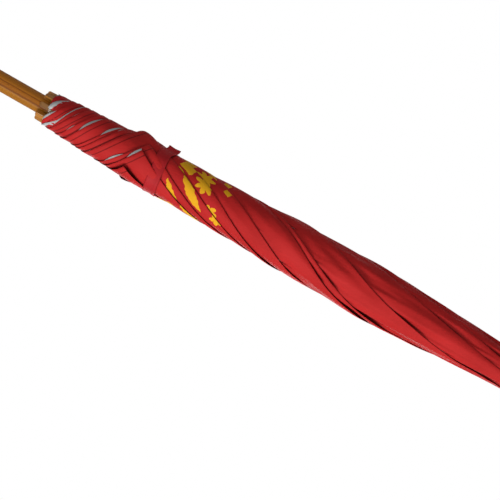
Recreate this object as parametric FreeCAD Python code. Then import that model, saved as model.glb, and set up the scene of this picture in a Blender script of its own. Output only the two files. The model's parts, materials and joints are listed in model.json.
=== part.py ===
import FreeCAD, Part
import math
import os

# Eight-rib wooden parasol, furled. Millimetres, +Z up, origin at the centre of the pole's foot.
# The profiles are drawn in the XZ plane, where X is the distance from the pole's axis.

# Pole
POLE_R = 19.0
LOWER_POLE_LENGTH = 980.0
CROWN_PIVOT_Z = 2300.0
TENON_R = 13.0
TENON_LENGTH = 30.0
FOOT_PLUG_R = 12.0
FOOT_PLUG_THICKNESS = 4.0
SLEEVE_WALL = 1.5
SLEEVE_LENGTH = 90.0
SLEEVE_PROUD = 1.0
SCREW_R = 9.0
SCREW_LENGTH = 60.0
LOCK_HOLE_SPARE = 0.2
CUT_MARGIN = 1.0

# Ribs: each station is the distance below the crown pivot, and the rib's depth there
RIB_COUNT = 8
RIB_LENGTH = 1150.0
RIB_WIDTH = 13.0
RIB_EDGE_RADIUS = 2.5
RIB_ROOT_DEPTH = 11.0
RIB_BRACKET_DEPTH = 12.0
RIB_RUNNER_DEPTH = 10.5
RIB_TIP_DEPTH = 10.0
RIB_TIP_ROUND = 4.0
RIB_TIP_WIDTH = 10.0
RIB_TAPER_LENGTH = 70.0
NECK_BELOW = 190.0
NECK_SHARE = 0.385
SHOULDER_BELOW = 300.0
SHOULDER_SHARE = 0.735
TIP_GAP = 2.0
RIB_OPEN_ANGLE = 70.0

# Stretchers, of the same length as the stretch of rib above their bracket
PIVOT_R = 26.0
LINK_LENGTH = 415.0
BRACKET_PIVOT_R = 34.0
STRETCHER_WIDTH = 8.0
STRETCHER_DEPTH = 8.0
FOLD_GAP = 0.4
RUNNER_FOLD_GAP = 0.6

# Pins and brackets
PIN_R = 2.0
PIN_CLEARANCE = 0.06
CROWN_PIN_BITE = 2.2
TRUNNION_BITE = 2.2
BRACKET_WALL = 1.5
BRACKET_SIDE_GAP = 0.2
BRACKET_HALF_LENGTH = 18.0
EAR_R = 5.0
RIVET_R = 1.6
RIVET_LENGTH = 6.0

# Crown hub
CROWN_HUB_R = 34.0
CROWN_HUB_BELOW = 28.0
CROWN_HUB_ABOVE = 20.0
SLOT_GAP = 0.3
HUB_CHAMFER = 2.0

# Runner
RUNNER_BORE_GAP = 0.3
RUNNER_R = 29.6
RUNNER_ABOVE = 45.0
RUNNER_BELOW = 18.0
GROOVE_GAP = 0.15

# Lock pin
LOCK_PIN_R = 3.0
LOCK_PIN_SEAT_GAP = 0.3
LOCK_PIN_REACH = 24.0
LOCK_HEAD_R = 4.0
LOCK_TAIL_INSET = 1.0

# Crown fittings
WASHER_R = 22.0
WASHER_THICKNESS = 2.0
FINIAL_STEM_R = 12.0
FINIAL_STEM_HEIGHT = 14.0
FINIAL_BALL_R = 19.0
FINIAL_BALL_RISE = 15.2
FINIAL_TIP_R = 5.0
STUD_R = 4.0
STUD_IN_POLE = 40.0
STUD_IN_FINIAL = 25.0

# Canopy: the wound cloth's thickness at each height above the rib tips, as a share of the rib's length
CLOTH_GAP = 0.4
PATCH_THICKNESS = 1.0
PATCH_R = 32.0
CROWN_CLOTH_THICKNESS = 2.0
WOUND_CLOTH = [
    (0.026, 1.88),
    (0.052, 3.22),
    (0.100, 5.33),
    (0.152, 6.36),
    (0.209, 6.09),
    (0.270, 4.21),
    (0.330, 3.42),
    (0.400, 3.62),
    (0.478, 4.63),
    (0.565, 3.31),
    (0.643, 3.67),
    (0.696, 3.02),
    (0.757, 3.12),
    (0.809, 3.32),
    (0.861, 2.58),
    (0.922, 3.13),
]

# Tie strap
STRAP_ABOVE_TIPS = 249.0
STRAP_WIDTH = 26.0
STRAP_THICKNESS = 1.6
STRAP_TAIL_LENGTH = 20.0
STRAP_TAIL_TILT = 20.0
STRAP_TAIL_AZIMUTH = 202.0
BUTTON_R = 6.0
BUTTON_THICKNESS = 2.0
BUTTON_AZIMUTH = 135.0

# Worked out from the sizes above
RIB_PITCH = 360.0 / RIB_COUNT
TIP_Z = CROWN_PIVOT_Z - RIB_LENGTH
LINK_TILT = math.asin((BRACKET_PIVOT_R - PIVOT_R) / LINK_LENGTH)
LINK_DROP = LINK_LENGTH * math.cos(LINK_TILT)
BRACKET_Z = CROWN_PIVOT_Z - LINK_DROP
RUNNER_PIVOT_Z = CROWN_PIVOT_Z - 2.0 * LINK_DROP
CROWN_HUB_TOP = CROWN_PIVOT_Z + CROWN_HUB_ABOVE
CROWN_HUB_BASE = CROWN_PIVOT_Z - CROWN_HUB_BELOW
BRACKET_INNER_R = BRACKET_PIVOT_R + STRETCHER_DEPTH / 2.0 + FOLD_GAP
RUNNER_INNER_R = max(RUNNER_R, PIVOT_R + STRETCHER_DEPTH / 2.0) + RUNNER_FOLD_GAP
TIP_INNER_R = POLE_R + TIP_GAP
ROOT_INNER_R = PIVOT_R - RIB_ROOT_DEPTH / 2.0
TENON_TOP = CROWN_HUB_BASE + TENON_LENGTH
LOCK_PIN_Z = RUNNER_PIVOT_Z - RUNNER_BELOW - LOCK_PIN_SEAT_GAP - LOCK_HEAD_R
OPEN_RUNNER_RISE = 2.0 * LINK_DROP - 2.0 * LINK_LENGTH * math.cos(LINK_TILT + math.radians(RIB_OPEN_ANGLE))

Z_AXIS = FreeCAD.Vector(0, 0, 1)
ORIGIN = FreeCAD.Vector(0, 0, 0)


def at(x, z):
    """A point in the XZ plane."""
    return FreeCAD.Vector(x, 0, z)


def rod(radius, bottom, top, x=0.0):
    """An upright cylinder."""
    return Part.makeCylinder(radius, top - bottom, at(x, bottom))


def tube(outer, inner, bottom, top):
    """An upright tube on the pole's axis."""
    return rod(outer, bottom, top).cut(rod(inner, bottom, top))


def cross_pin(radius, length, x, z):
    """A cylinder across a rib's plane, centred on it."""
    return Part.makeCylinder(radius, length, FreeCAD.Vector(x, -length / 2.0, z), FreeCAD.Vector(0, 1, 0))


def block(x_low, x_high, width, bottom, top):
    """A box centred on a rib's plane."""
    corner = FreeCAD.Vector(x_low, -width / 2.0, bottom)
    return Part.makeBox(x_high - x_low, width, top - bottom, corner)


def plate(edges, width):
    """A closed outline in the XZ plane, thickened to both sides."""
    face = Part.Face(Part.Wire(Part.__sortEdges__(edges)))
    face.translate(FreeCAD.Vector(0, -width / 2.0, 0))
    return face.extrude(FreeCAD.Vector(0, width, 0))


def spline(points):
    """A smooth curve through the points."""
    curve = Part.BSplineCurve()
    curve.interpolate(points)
    return curve.toShape()


def turned(shape, index):
    """A copy of a shape at one of the rib places."""
    copy = shape.copy()
    copy.rotate(ORIGIN, Z_AXIS, index * RIB_PITCH)
    return copy


def around(shape):
    """One copy of a shape at each rib place."""
    return [turned(shape, index) for index in range(RIB_COUNT)]


def between(low, high, share):
    """The value that lies the given share of the way from low to high."""
    return low + (high - low) * share


def save(name, shape):
    """One sub-part, written as one STEP file."""
    shape.exportStep("parts/" + name + ".step")


def rib_stations():
    """Distance below the crown pivot, inner radius and outer radius along a closed rib."""
    neck_inner = between(ROOT_INNER_R, BRACKET_INNER_R, NECK_SHARE)
    shoulder_inner = between(ROOT_INNER_R, BRACKET_INNER_R, SHOULDER_SHARE)
    neck_depth = between(RIB_ROOT_DEPTH, RIB_BRACKET_DEPTH, NECK_SHARE)
    shoulder_depth = between(RIB_ROOT_DEPTH, RIB_BRACKET_DEPTH, SHOULDER_SHARE)
    waist_inner = between(BRACKET_INNER_R, RUNNER_INNER_R, 0.5)
    waist_depth = between(RIB_BRACKET_DEPTH, RIB_RUNNER_DEPTH, 0.5)
    return [
        (0.0, ROOT_INNER_R, ROOT_INNER_R + RIB_ROOT_DEPTH),
        (NECK_BELOW, neck_inner, neck_inner + neck_depth),
        (SHOULDER_BELOW, shoulder_inner, shoulder_inner + shoulder_depth),
        (LINK_DROP, BRACKET_INNER_R, BRACKET_INNER_R + RIB_BRACKET_DEPTH),
        (1.5 * LINK_DROP, waist_inner, waist_inner + waist_depth),
        (2.0 * LINK_DROP, RUNNER_INNER_R, RUNNER_INNER_R + RIB_RUNNER_DEPTH),
        (RIB_LENGTH - RIB_TIP_ROUND, TIP_INNER_R, TIP_INNER_R + RIB_TIP_DEPTH),
    ]


def rib_plan():
    """A rib's outline as seen from outside, tapering to a round tip, thickened towards the pole's axis."""
    half = RIB_WIDTH / 2.0
    tip_half = RIB_TIP_WIDTH / 2.0
    shoulder = TIP_Z + RIB_TAPER_LENGTH
    top = CROWN_PIVOT_Z + RIB_ROOT_DEPTH
    right = [(half, top), (half, shoulder), (tip_half, TIP_Z + tip_half)]
    left = [(-y, z) for y, z in reversed(right)]
    corners = [FreeCAD.Vector(0, y, z) for y, z in right]
    others = [FreeCAD.Vector(0, y, z) for y, z in left]
    tip = Part.Arc(corners[-1], FreeCAD.Vector(0, 0, TIP_Z), others[0]).toShape()
    lines = [Part.makeLine(low, high) for low, high in zip(corners, corners[1:])]
    lines += [Part.makeLine(low, high) for low, high in zip(others, others[1:])]
    lines += [tip, Part.makeLine(others[-1], corners[0])]
    face = Part.Face(Part.Wire(Part.__sortEdges__(lines)))
    return face.extrude(FreeCAD.Vector(2.0 * CROWN_HUB_R, 0, 0))


def rib_blank():
    """The wooden rib before its bracket's pocket is cut."""
    stations = rib_stations()
    inner = [at(low, CROWN_PIVOT_Z - below) for below, low, high in stations]
    outer = [at(high, CROWN_PIVOT_Z - below) for below, low, high in stations]
    root_top = at(PIVOT_R, CROWN_PIVOT_Z + RIB_ROOT_DEPTH / 2.0)
    tip_end = at(TIP_INNER_R + RIB_TIP_DEPTH / 2.0, TIP_Z)
    root_arc = Part.Arc(inner[0], root_top, outer[0]).toShape()
    tip_arc = Part.Arc(inner[-1], tip_end, outer[-1]).toShape()
    blank = plate([spline(inner), spline(outer), root_arc, tip_arc], RIB_WIDTH)
    long_edges = [edge for edge in blank.Edges if edge.Length > RIB_LENGTH / 2.0]
    return blank.makeFillet(RIB_EDGE_RADIUS, long_edges).common(rib_plan())


def bracket_plate_width():
    """Width of the bracket over its two ears."""
    return STRETCHER_WIDTH + 2.0 * (BRACKET_SIDE_GAP + BRACKET_WALL)


def rivet_heights():
    """The heights of the two rivets that hold a bracket."""
    return [BRACKET_Z + side * (BRACKET_HALF_LENGTH + EAR_R) / 2.0 for side in (-1.0, 1.0)]


def rivet(z):
    """A rivet through the bracket's plate into the rib."""
    start = at(BRACKET_INNER_R, z)
    return Part.makeCylinder(RIVET_R, RIVET_LENGTH, start, FreeCAD.Vector(1, 0, 0))


def rib():
    """A rib with its crown pin's hole and the pocket and rivet holes of its bracket."""
    pocket_floor = BRACKET_INNER_R + BRACKET_WALL
    low = BRACKET_Z - BRACKET_HALF_LENGTH
    high = BRACKET_Z + BRACKET_HALF_LENGTH
    pocket = block(BRACKET_PIVOT_R, pocket_floor, RIB_WIDTH + CUT_MARGIN, low, high)
    hole = cross_pin(PIN_R + PIN_CLEARANCE, RIB_WIDTH + CUT_MARGIN, PIVOT_R, CROWN_PIVOT_Z)
    holes = [rivet(z) for z in rivet_heights()]
    return rib_blank().cut(pocket).cut(hole).cut(Part.makeCompound(holes))


def bracket():
    """The brass fork on a rib, with its pin and its two rivets as separate solids."""
    width = bracket_plate_width()
    low = BRACKET_Z - BRACKET_HALF_LENGTH
    high = BRACKET_Z + BRACKET_HALF_LENGTH
    base_outer = BRACKET_INNER_R + BRACKET_WALL
    base = block(BRACKET_INNER_R, base_outer, width, low, high)
    ears = block(BRACKET_PIVOT_R, base_outer, width, BRACKET_Z - EAR_R, BRACKET_Z + EAR_R)
    ears = ears.fuse(cross_pin(EAR_R, width, BRACKET_PIVOT_R, BRACKET_Z))
    mouth = block(
        BRACKET_PIVOT_R - 2.0 * EAR_R,
        BRACKET_INNER_R,
        STRETCHER_WIDTH + 2.0 * BRACKET_SIDE_GAP,
        BRACKET_Z - 2.0 * EAR_R,
        BRACKET_Z + 2.0 * EAR_R,
    )
    pin = cross_pin(PIN_R, width, BRACKET_PIVOT_R, BRACKET_Z)
    rivets = [rivet(z) for z in rivet_heights()]
    fork = base.fuse(ears).cut(mouth).cut(pin).cut(Part.makeCompound(rivets))
    return Part.makeCompound([fork.removeSplitter(), pin] + rivets)


def stretcher():
    """A straight wooden stretcher with round ends, folded under its rib."""
    half = STRETCHER_DEPTH / 2.0
    along = at(math.sin(LINK_TILT), math.cos(LINK_TILT))
    across = at(math.cos(LINK_TILT), -math.sin(LINK_TILT))
    foot = at(PIVOT_R, RUNNER_PIVOT_Z)
    head = at(BRACKET_PIVOT_R, BRACKET_Z)
    foot_arc = Part.Arc(foot + across * half, foot - along * half, foot - across * half)
    head_arc = Part.Arc(head + across * half, head + along * half, head - across * half)
    outer = Part.makeLine(foot + across * half, head + across * half)
    inner = Part.makeLine(foot - across * half, head - across * half)
    bar = plate([foot_arc.toShape(), head_arc.toShape(), outer, inner], STRETCHER_WIDTH)
    head_hole = cross_pin(PIN_R + PIN_CLEARANCE, STRETCHER_WIDTH + CUT_MARGIN, head.x, head.z)
    return bar.cut(head_hole).cut(trunnion())


def trunnion():
    """The pin through a stretcher's lower end, which rides in the runner's grooves."""
    length = STRETCHER_WIDTH + 2.0 * TRUNNION_BITE
    return cross_pin(PIN_R, length, PIVOT_R, RUNNER_PIVOT_Z)


def crown_pin():
    """The pin that carries a rib in the crown hub."""
    length = RIB_WIDTH + 2.0 * (SLOT_GAP + CROWN_PIN_BITE)
    return cross_pin(PIN_R, length, PIVOT_R, CROWN_PIVOT_Z)


def stud():
    """The steel stud that holds the finial down through washer, cloth, hub and pole."""
    return rod(STUD_R, TENON_TOP - STUD_IN_POLE, finial_base() + STUD_IN_FINIAL)


def finial_base():
    """Height of the finial's underside, on the washer."""
    return CROWN_HUB_TOP + CLOTH_GAP + CROWN_CLOTH_THICKNESS + PATCH_THICKNESS + WASHER_THICKNESS


def crown_hub():
    """The slotted hub on the pole's tenon."""
    hub = rod(CROWN_HUB_R, CROWN_HUB_BASE, CROWN_HUB_TOP)
    rims = [edge for edge in hub.Edges if edge.Curve.TypeId == "Part::GeomCircle"]
    hub = hub.makeChamfer(HUB_CHAMFER, rims)
    slot_floor = ROOT_INNER_R - SLOT_GAP
    slot_top = CROWN_PIVOT_Z + RIB_ROOT_DEPTH / 2.0 + SLOT_GAP
    slot_width = RIB_WIDTH + 2.0 * SLOT_GAP
    slot = block(slot_floor, CROWN_HUB_R + CUT_MARGIN, slot_width, CROWN_HUB_BASE - CUT_MARGIN, slot_top)
    cuts = around(slot) + around(crown_pin())
    return hub.cut(Part.makeCompound(cuts)).cut(rod(TENON_R, CROWN_HUB_BASE, TENON_TOP)).cut(stud())


def runner():
    """The wooden runner, with full-height slots and grooves for the stretchers' trunnions."""
    base = RUNNER_PIVOT_Z - RUNNER_BELOW
    top = RUNNER_PIVOT_Z + RUNNER_ABOVE
    body = rod(RUNNER_R, base, top)
    rims = [edge for edge in body.Edges if edge.Curve.TypeId == "Part::GeomCircle"]
    body = body.makeChamfer(HUB_CHAMFER, rims)
    slot_floor = PIVOT_R - STRETCHER_DEPTH / 2.0 - SLOT_GAP
    slot_width = STRETCHER_WIDTH + 2.0 * SLOT_GAP
    low = base - CUT_MARGIN
    high = top + CUT_MARGIN
    slot = block(slot_floor, RUNNER_R + CUT_MARGIN, slot_width, low, high)
    groove_width = STRETCHER_WIDTH + 2.0 * (TRUNNION_BITE + GROOVE_GAP)
    reach = PIN_R + GROOVE_GAP
    groove = block(PIVOT_R - reach, PIVOT_R + reach, groove_width, low, high)
    cuts = around(slot) + around(groove)
    bore = rod(POLE_R + RUNNER_BORE_GAP, base, top)
    return body.cut(Part.makeCompound(cuts)).cut(bore)


def lock_axis():
    """The direction in which the lock pin is drawn, midway between two ribs."""
    angle = math.radians(RIB_PITCH / 2.0)
    return FreeCAD.Vector(math.cos(angle), math.sin(angle), 0)


def lock_hole(z):
    """The cross hole in the pole for the lock pin."""
    start = at(0, z) - lock_axis() * (POLE_R + CUT_MARGIN)
    return Part.makeCylinder(LOCK_PIN_R + LOCK_HOLE_SPARE, 2.0 * (POLE_R + CUT_MARGIN), start, lock_axis())


def lock_pin():
    """The ball-headed pin, stowed under the lowered runner."""
    start = at(0, LOCK_PIN_Z) - lock_axis() * (POLE_R - LOCK_TAIL_INSET)
    shank = Part.makeCylinder(LOCK_PIN_R, POLE_R - LOCK_TAIL_INSET + LOCK_PIN_REACH, start, lock_axis())
    head = Part.makeSphere(LOCK_HEAD_R, at(0, LOCK_PIN_Z) + lock_axis() * (LOCK_PIN_REACH + LOCK_HEAD_R / 2.0))
    return shank.fuse(head)


def lower_pole():
    """The lower half of the pole, with the joint's turned-down end and socket, and the plug's recess."""
    pole = rod(POLE_R, 0.0, LOWER_POLE_LENGTH)
    seat_bottom = LOWER_POLE_LENGTH - SLEEVE_LENGTH / 2.0
    seat = tube(POLE_R, POLE_R - SLEEVE_WALL, seat_bottom, LOWER_POLE_LENGTH)
    socket = rod(SCREW_R, LOWER_POLE_LENGTH - SCREW_LENGTH / 2.0, LOWER_POLE_LENGTH)
    return pole.cut(seat).cut(socket).cut(foot_plug())


def upper_pole():
    """The upper half of the pole, up to its tenon in the crown hub."""
    pole = rod(POLE_R, LOWER_POLE_LENGTH, CROWN_HUB_BASE).fuse(rod(TENON_R, CROWN_HUB_BASE, TENON_TOP))
    seat_top = LOWER_POLE_LENGTH + SLEEVE_LENGTH / 2.0
    seat = tube(POLE_R, POLE_R - SLEEVE_WALL, LOWER_POLE_LENGTH, seat_top)
    socket = rod(SCREW_R, LOWER_POLE_LENGTH, LOWER_POLE_LENGTH + SCREW_LENGTH / 2.0)
    raised_hole = lock_hole(LOCK_PIN_Z + OPEN_RUNNER_RISE)
    return pole.cut(seat).cut(socket).cut(lock_hole(LOCK_PIN_Z)).cut(raised_hole).cut(stud())


def foot_plug():
    """The plug let into the foot of the pole."""
    return rod(FOOT_PLUG_R, 0.0, FOOT_PLUG_THICKNESS)


def joint_sleeve():
    """The brass sleeve over the joint of the two pole halves, standing slightly proud of them."""
    low = LOWER_POLE_LENGTH - SLEEVE_LENGTH / 2.0
    high = LOWER_POLE_LENGTH + SLEEVE_LENGTH / 2.0
    return tube(POLE_R + SLEEVE_PROUD, POLE_R - SLEEVE_WALL, low, high)


def joint_screw():
    """The threaded core that screws the two pole halves together."""
    return rod(SCREW_R, LOWER_POLE_LENGTH - SCREW_LENGTH / 2.0, LOWER_POLE_LENGTH + SCREW_LENGTH / 2.0)


def finial():
    """The turned finial: a stem, a ball and a small tip."""
    base = finial_base()
    ball_z = base + FINIAL_STEM_HEIGHT + FINIAL_BALL_RISE
    body = rod(FINIAL_STEM_R, base, ball_z)
    body = body.fuse(Part.makeSphere(FINIAL_BALL_R, at(0, ball_z)))
    body = body.fuse(Part.makeSphere(FINIAL_TIP_R, at(0, ball_z + FINIAL_BALL_R + FINIAL_TIP_R / 2.0)))
    return body.cut(stud())


def crown_washer():
    """The brass washer that clamps the cloth."""
    top = finial_base()
    return tube(WASHER_R, STUD_R, top - WASHER_THICKNESS, top)


def crown_patch():
    """The round cloth patch under the washer."""
    top = finial_base() - WASHER_THICKNESS
    return tube(PATCH_R, STUD_R, top - PATCH_THICKNESS, top)


def rib_outer_r(height):
    """Outer radius of the closed ribs, over their corners, at a height above the rib tips."""
    outer = spline([at(high, CROWN_PIVOT_Z - below) for below, low, high in rib_stations()])
    level = Part.makeLine(at(0, TIP_Z + height), at(2.0 * CROWN_HUB_R, TIP_Z + height))
    crossing = outer.distToShape(level)[1][0][0]
    return math.hypot(crossing.x, RIB_WIDTH / 2.0)


def wound_cloth():
    """Height above the rib tips, inner radius and outer radius along the wound cloth."""
    levels = [(share * RIB_LENGTH, thickness) for share, thickness in WOUND_CLOTH]
    skins = [(height, rib_outer_r(height) + CLOTH_GAP, thickness) for height, thickness in levels]
    return [(height, skin, skin + thickness) for height, skin, thickness in skins]


def gore():
    """One furled gore: an eighth of the cloth around the ribs, closing over the crown hub."""
    hub_skin = CROWN_HUB_R + CLOTH_GAP
    top_inner = CROWN_HUB_TOP + CLOTH_GAP
    inner = [at(low, TIP_Z + height) for height, low, high in wound_cloth()]
    outer = [at(high, TIP_Z + height) for height, low, high in wound_cloth()]
    inner_neck = at(hub_skin, CROWN_HUB_BASE - HUB_CHAMFER)
    outer_neck = at(hub_skin + CROWN_CLOTH_THICKNESS, CROWN_HUB_BASE - HUB_CHAMFER)
    inner_rim = at(hub_skin, top_inner)
    outer_rim = at(hub_skin + CROWN_CLOTH_THICKNESS, top_inner + CROWN_CLOTH_THICKNESS)
    inner_eye = at(STUD_R, top_inner)
    outer_eye = at(STUD_R, top_inner + CROWN_CLOTH_THICKNESS)
    edges = [spline(inner), spline(outer), Part.makeLine(inner[0], outer[0])]
    edges.append(Part.makeLine(inner[-1], inner_neck))
    edges.append(Part.makeLine(inner_neck, inner_rim))
    edges.append(Part.makeLine(inner_rim, inner_eye))
    edges.append(Part.makeLine(inner_eye, outer_eye))
    edges.append(Part.makeLine(outer_eye, outer_rim))
    edges.append(Part.makeLine(outer_rim, outer_neck))
    edges.append(Part.makeLine(outer_neck, outer[-1]))
    face = Part.Face(Part.Wire(Part.__sortEdges__(edges)))
    return face.revolve(ORIGIN, Z_AXIS, RIB_PITCH)


def strap_inner_r():
    """Inner radius of the strap, over the widest cloth that it goes round."""
    outer = spline([at(high, TIP_Z + height) for height, low, high in wound_cloth()])
    ends = (TIP_Z + STRAP_ABOVE_TIPS, TIP_Z + STRAP_ABOVE_TIPS + STRAP_WIDTH)
    levels = [Part.makeLine(at(0, z), at(2.0 * CROWN_HUB_R, z)) for z in ends]
    return max(outer.distToShape(level)[1][0][0].x for level in levels) + CLOTH_GAP


def tie_strap():
    """The strap round the bundle, with its loose end standing off."""
    low = TIP_Z + STRAP_ABOVE_TIPS
    inner = strap_inner_r()
    band = tube(inner + STRAP_THICKNESS, inner, low, low + STRAP_WIDTH)
    corner = FreeCAD.Vector(inner, -STRAP_TAIL_LENGTH, low)
    tail = Part.makeBox(STRAP_THICKNESS, STRAP_TAIL_LENGTH, STRAP_WIDTH, corner)
    tail.rotate(at(inner + STRAP_THICKNESS / 2.0, low), Z_AXIS, STRAP_TAIL_TILT)
    tail = tail.cut(rod(inner + STRAP_THICKNESS / 2.0, low, low + STRAP_WIDTH))
    tail.rotate(ORIGIN, Z_AXIS, STRAP_TAIL_AZIMUTH)
    return band.fuse(tail)


def strap_button():
    """The snap fastener on the strap."""
    middle = TIP_Z + STRAP_ABOVE_TIPS + STRAP_WIDTH / 2.0
    flat = strap_inner_r() + STRAP_THICKNESS
    button = Part.makeCylinder(BUTTON_R, BUTTON_THICKNESS * 2.0, at(flat - BUTTON_THICKNESS, middle), at(1, 0))
    button = button.cut(rod(flat, middle - BUTTON_R, middle + BUTTON_R))
    button.rotate(ORIGIN, Z_AXIS, BUTTON_AZIMUTH)
    return button


def build():
    """Write every sub-part."""
    os.makedirs("parts", exist_ok=True)
    save("lower_pole", lower_pole())
    save("upper_pole", upper_pole())
    save("foot_plug", foot_plug())
    save("joint_sleeve", joint_sleeve())
    save("joint_screw", joint_screw())
    save("crown_hub", crown_hub())
    save("crown_pins", Part.makeCompound(around(crown_pin())))
    save("crown_patch", crown_patch())
    save("crown_washer", crown_washer())
    save("finial_stud", stud())
    save("finial", finial())
    save("runner", runner())
    save("lock_pin", lock_pin())
    save("tie_strap", tie_strap())
    save("strap_button", strap_button())
    for number, shape in enumerate(around(rib()), 1):
        save("rib_" + str(number), shape)
    for number, shape in enumerate(around(bracket()), 1):
        save("bracket_" + str(number), shape)
    for number, shape in enumerate(around(stretcher()), 1):
        save("stretcher_" + str(number), shape)
    for number, shape in enumerate(around(trunnion()), 1):
        save("trunnion_" + str(number), shape)
    for number, shape in enumerate(around(gore()), 1):
        save("gore_" + str(number), shape)


build()
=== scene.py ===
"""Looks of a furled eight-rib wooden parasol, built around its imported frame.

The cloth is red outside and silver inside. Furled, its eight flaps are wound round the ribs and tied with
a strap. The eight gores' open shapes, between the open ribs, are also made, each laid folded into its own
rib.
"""

import json
import logging
import math
from dataclasses import dataclass, field
from enum import Enum
from typing import Sequence

import bpy
import numpy as np
from mathutils import Matrix, Vector


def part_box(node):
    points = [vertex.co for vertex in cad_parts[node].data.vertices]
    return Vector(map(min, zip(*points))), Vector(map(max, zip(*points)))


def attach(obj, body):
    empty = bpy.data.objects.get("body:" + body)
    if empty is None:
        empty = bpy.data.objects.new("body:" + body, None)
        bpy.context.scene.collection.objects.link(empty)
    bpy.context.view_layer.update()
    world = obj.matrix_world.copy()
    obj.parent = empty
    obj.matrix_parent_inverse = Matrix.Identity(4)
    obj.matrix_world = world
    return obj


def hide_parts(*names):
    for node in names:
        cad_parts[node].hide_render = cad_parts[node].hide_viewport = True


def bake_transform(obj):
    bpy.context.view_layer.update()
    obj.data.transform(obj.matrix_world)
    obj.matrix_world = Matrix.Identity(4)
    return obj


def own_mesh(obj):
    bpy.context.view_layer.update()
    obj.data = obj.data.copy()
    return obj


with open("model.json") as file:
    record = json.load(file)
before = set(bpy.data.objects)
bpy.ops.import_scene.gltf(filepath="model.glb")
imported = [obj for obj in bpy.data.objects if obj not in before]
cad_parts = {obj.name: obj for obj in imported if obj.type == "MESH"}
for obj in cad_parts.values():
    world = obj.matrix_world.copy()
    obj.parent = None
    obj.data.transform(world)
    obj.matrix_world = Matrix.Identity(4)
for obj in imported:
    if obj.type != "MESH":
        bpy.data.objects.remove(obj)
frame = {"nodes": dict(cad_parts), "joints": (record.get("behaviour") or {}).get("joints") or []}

LOG = logging.getLogger("parasol")
RIBS = 8
PITCH = 2.0 * math.pi / RIBS
MAIN_JOINT = "rib_1_hinge"
FREE_RIB = 0.021  # how much of a rib's length the cloth leaves free, at its pivot and at its tip
DARK_RIB = 7  # the rib drawn darker than the others

Socket = bpy.types.NodeSocket
Pair = tuple[Socket, Socket]
Colour = tuple[float, float, float]
Finishes = Sequence[bpy.types.Material]


# ---------------------------------------------------------------- frame measures


def joint_record(name: str) -> dict:
    """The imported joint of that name."""
    return next(j for j in frame["joints"] if j["name"] == name)


def node_points(name: str) -> np.ndarray:
    """The vertices of a CAD node, one row each, in metres."""
    mesh = frame["nodes"][name].data
    points = np.zeros(len(mesh.vertices) * 3)
    mesh.vertices.foreach_get("co", points)
    return points.reshape(-1, 3)


@dataclass(frozen=True)
class Measures:
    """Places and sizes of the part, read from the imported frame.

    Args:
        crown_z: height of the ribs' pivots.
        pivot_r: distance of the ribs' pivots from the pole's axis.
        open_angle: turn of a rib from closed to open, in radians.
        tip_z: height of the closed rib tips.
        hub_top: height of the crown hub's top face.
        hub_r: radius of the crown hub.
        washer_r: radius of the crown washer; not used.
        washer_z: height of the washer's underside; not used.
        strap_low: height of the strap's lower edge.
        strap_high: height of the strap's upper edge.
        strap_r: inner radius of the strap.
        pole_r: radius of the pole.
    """

    crown_z: float
    pivot_r: float
    open_angle: float
    tip_z: float
    hub_top: float
    hub_r: float
    washer_r: float
    washer_z: float
    strap_low: float
    strap_high: float
    strap_r: float
    pole_r: float

    @property
    def strap_middle(self) -> float:
        """Height of the strap's middle."""
        return (self.strap_low + self.strap_high) / 2.0

    @property
    def strap_width(self) -> float:
        """Width of the strap."""
        return self.strap_high - self.strap_low

    @staticmethod
    def read() -> "Measures":
        """Measure the frame's nodes and joints."""
        hinge = joint_record(MAIN_JOINT)
        hub_low, hub_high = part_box("crown_hub")
        washer_low, washer_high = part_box("crown_washer")
        strap_low, strap_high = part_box("tie_strap")
        strap = node_points("tie_strap")
        return Measures(
            crown_z=hinge["pos_m"][2],
            pivot_r=math.hypot(hinge["pos_m"][0], hinge["pos_m"][1]),
            open_angle=math.radians(hinge["range_deg"][1]),
            tip_z=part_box("rib_1")[0][2],
            hub_top=hub_high[2],
            hub_r=hub_high[0],
            washer_r=washer_high[0],
            washer_z=washer_low[2],
            strap_low=strap_low[2],
            strap_high=strap_high[2],
            strap_r=float(np.hypot(strap[:, 0], strap[:, 1]).min()),
            pole_r=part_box("lower_pole")[1][0],
        )


class BundleProfile:
    """Inner and outer radius of the furled cloth at each height, from the CAD gores."""

    skin_facing = 0.6  # how squarely a skin's face has to look outwards or inwards

    def __init__(self, measures: Measures) -> None:
        """Read the furled gore and sort its skins into an inner and an outer line."""
        mesh = frame["nodes"]["gore_1"].data
        skins: dict[bool, dict[float, float]] = {True: {}, False: {}}
        for polygon in mesh.polygons:
            out = Vector((polygon.center.x, polygon.center.y, 0.0)).normalized()
            facing = polygon.normal.dot(out)
            if abs(facing) < self.skin_facing:
                continue
            for index in polygon.vertices:
                place = mesh.vertices[index].co
                skins[facing > 0.0][round(place.z, 5)] = math.hypot(place.x, place.y)
        self.outer = np.array(sorted(skins[True].items()))
        self.inner = np.array(sorted(skins[False].items()))
        LOG.info("profile with %d outer and %d inner levels", len(self.outer), len(self.inner))

    def outer_r(self, z: np.ndarray) -> np.ndarray:
        """Outer radius of the bundle at heights z."""
        return np.interp(z, self.outer[:, 0], self.outer[:, 1])

    def inner_r(self, z: np.ndarray) -> np.ndarray:
        """Radius of the skin that lies on the ribs at heights z."""
        return np.interp(z, self.inner[:, 0], self.inner[:, 1])


# ---------------------------------------------------------------- node helpers


def add_object(name: str, data: bpy.types.ID) -> bpy.types.Object:
    """A new object in the scene, for a mesh, a camera or a lamp."""
    obj = bpy.data.objects.new(name, data)
    bpy.context.collection.objects.link(obj)
    return obj


def scaled(colour: Colour, share: float) -> Colour:
    """A colour made darker or lighter by a share."""
    return tuple(part * share for part in colour)


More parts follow.
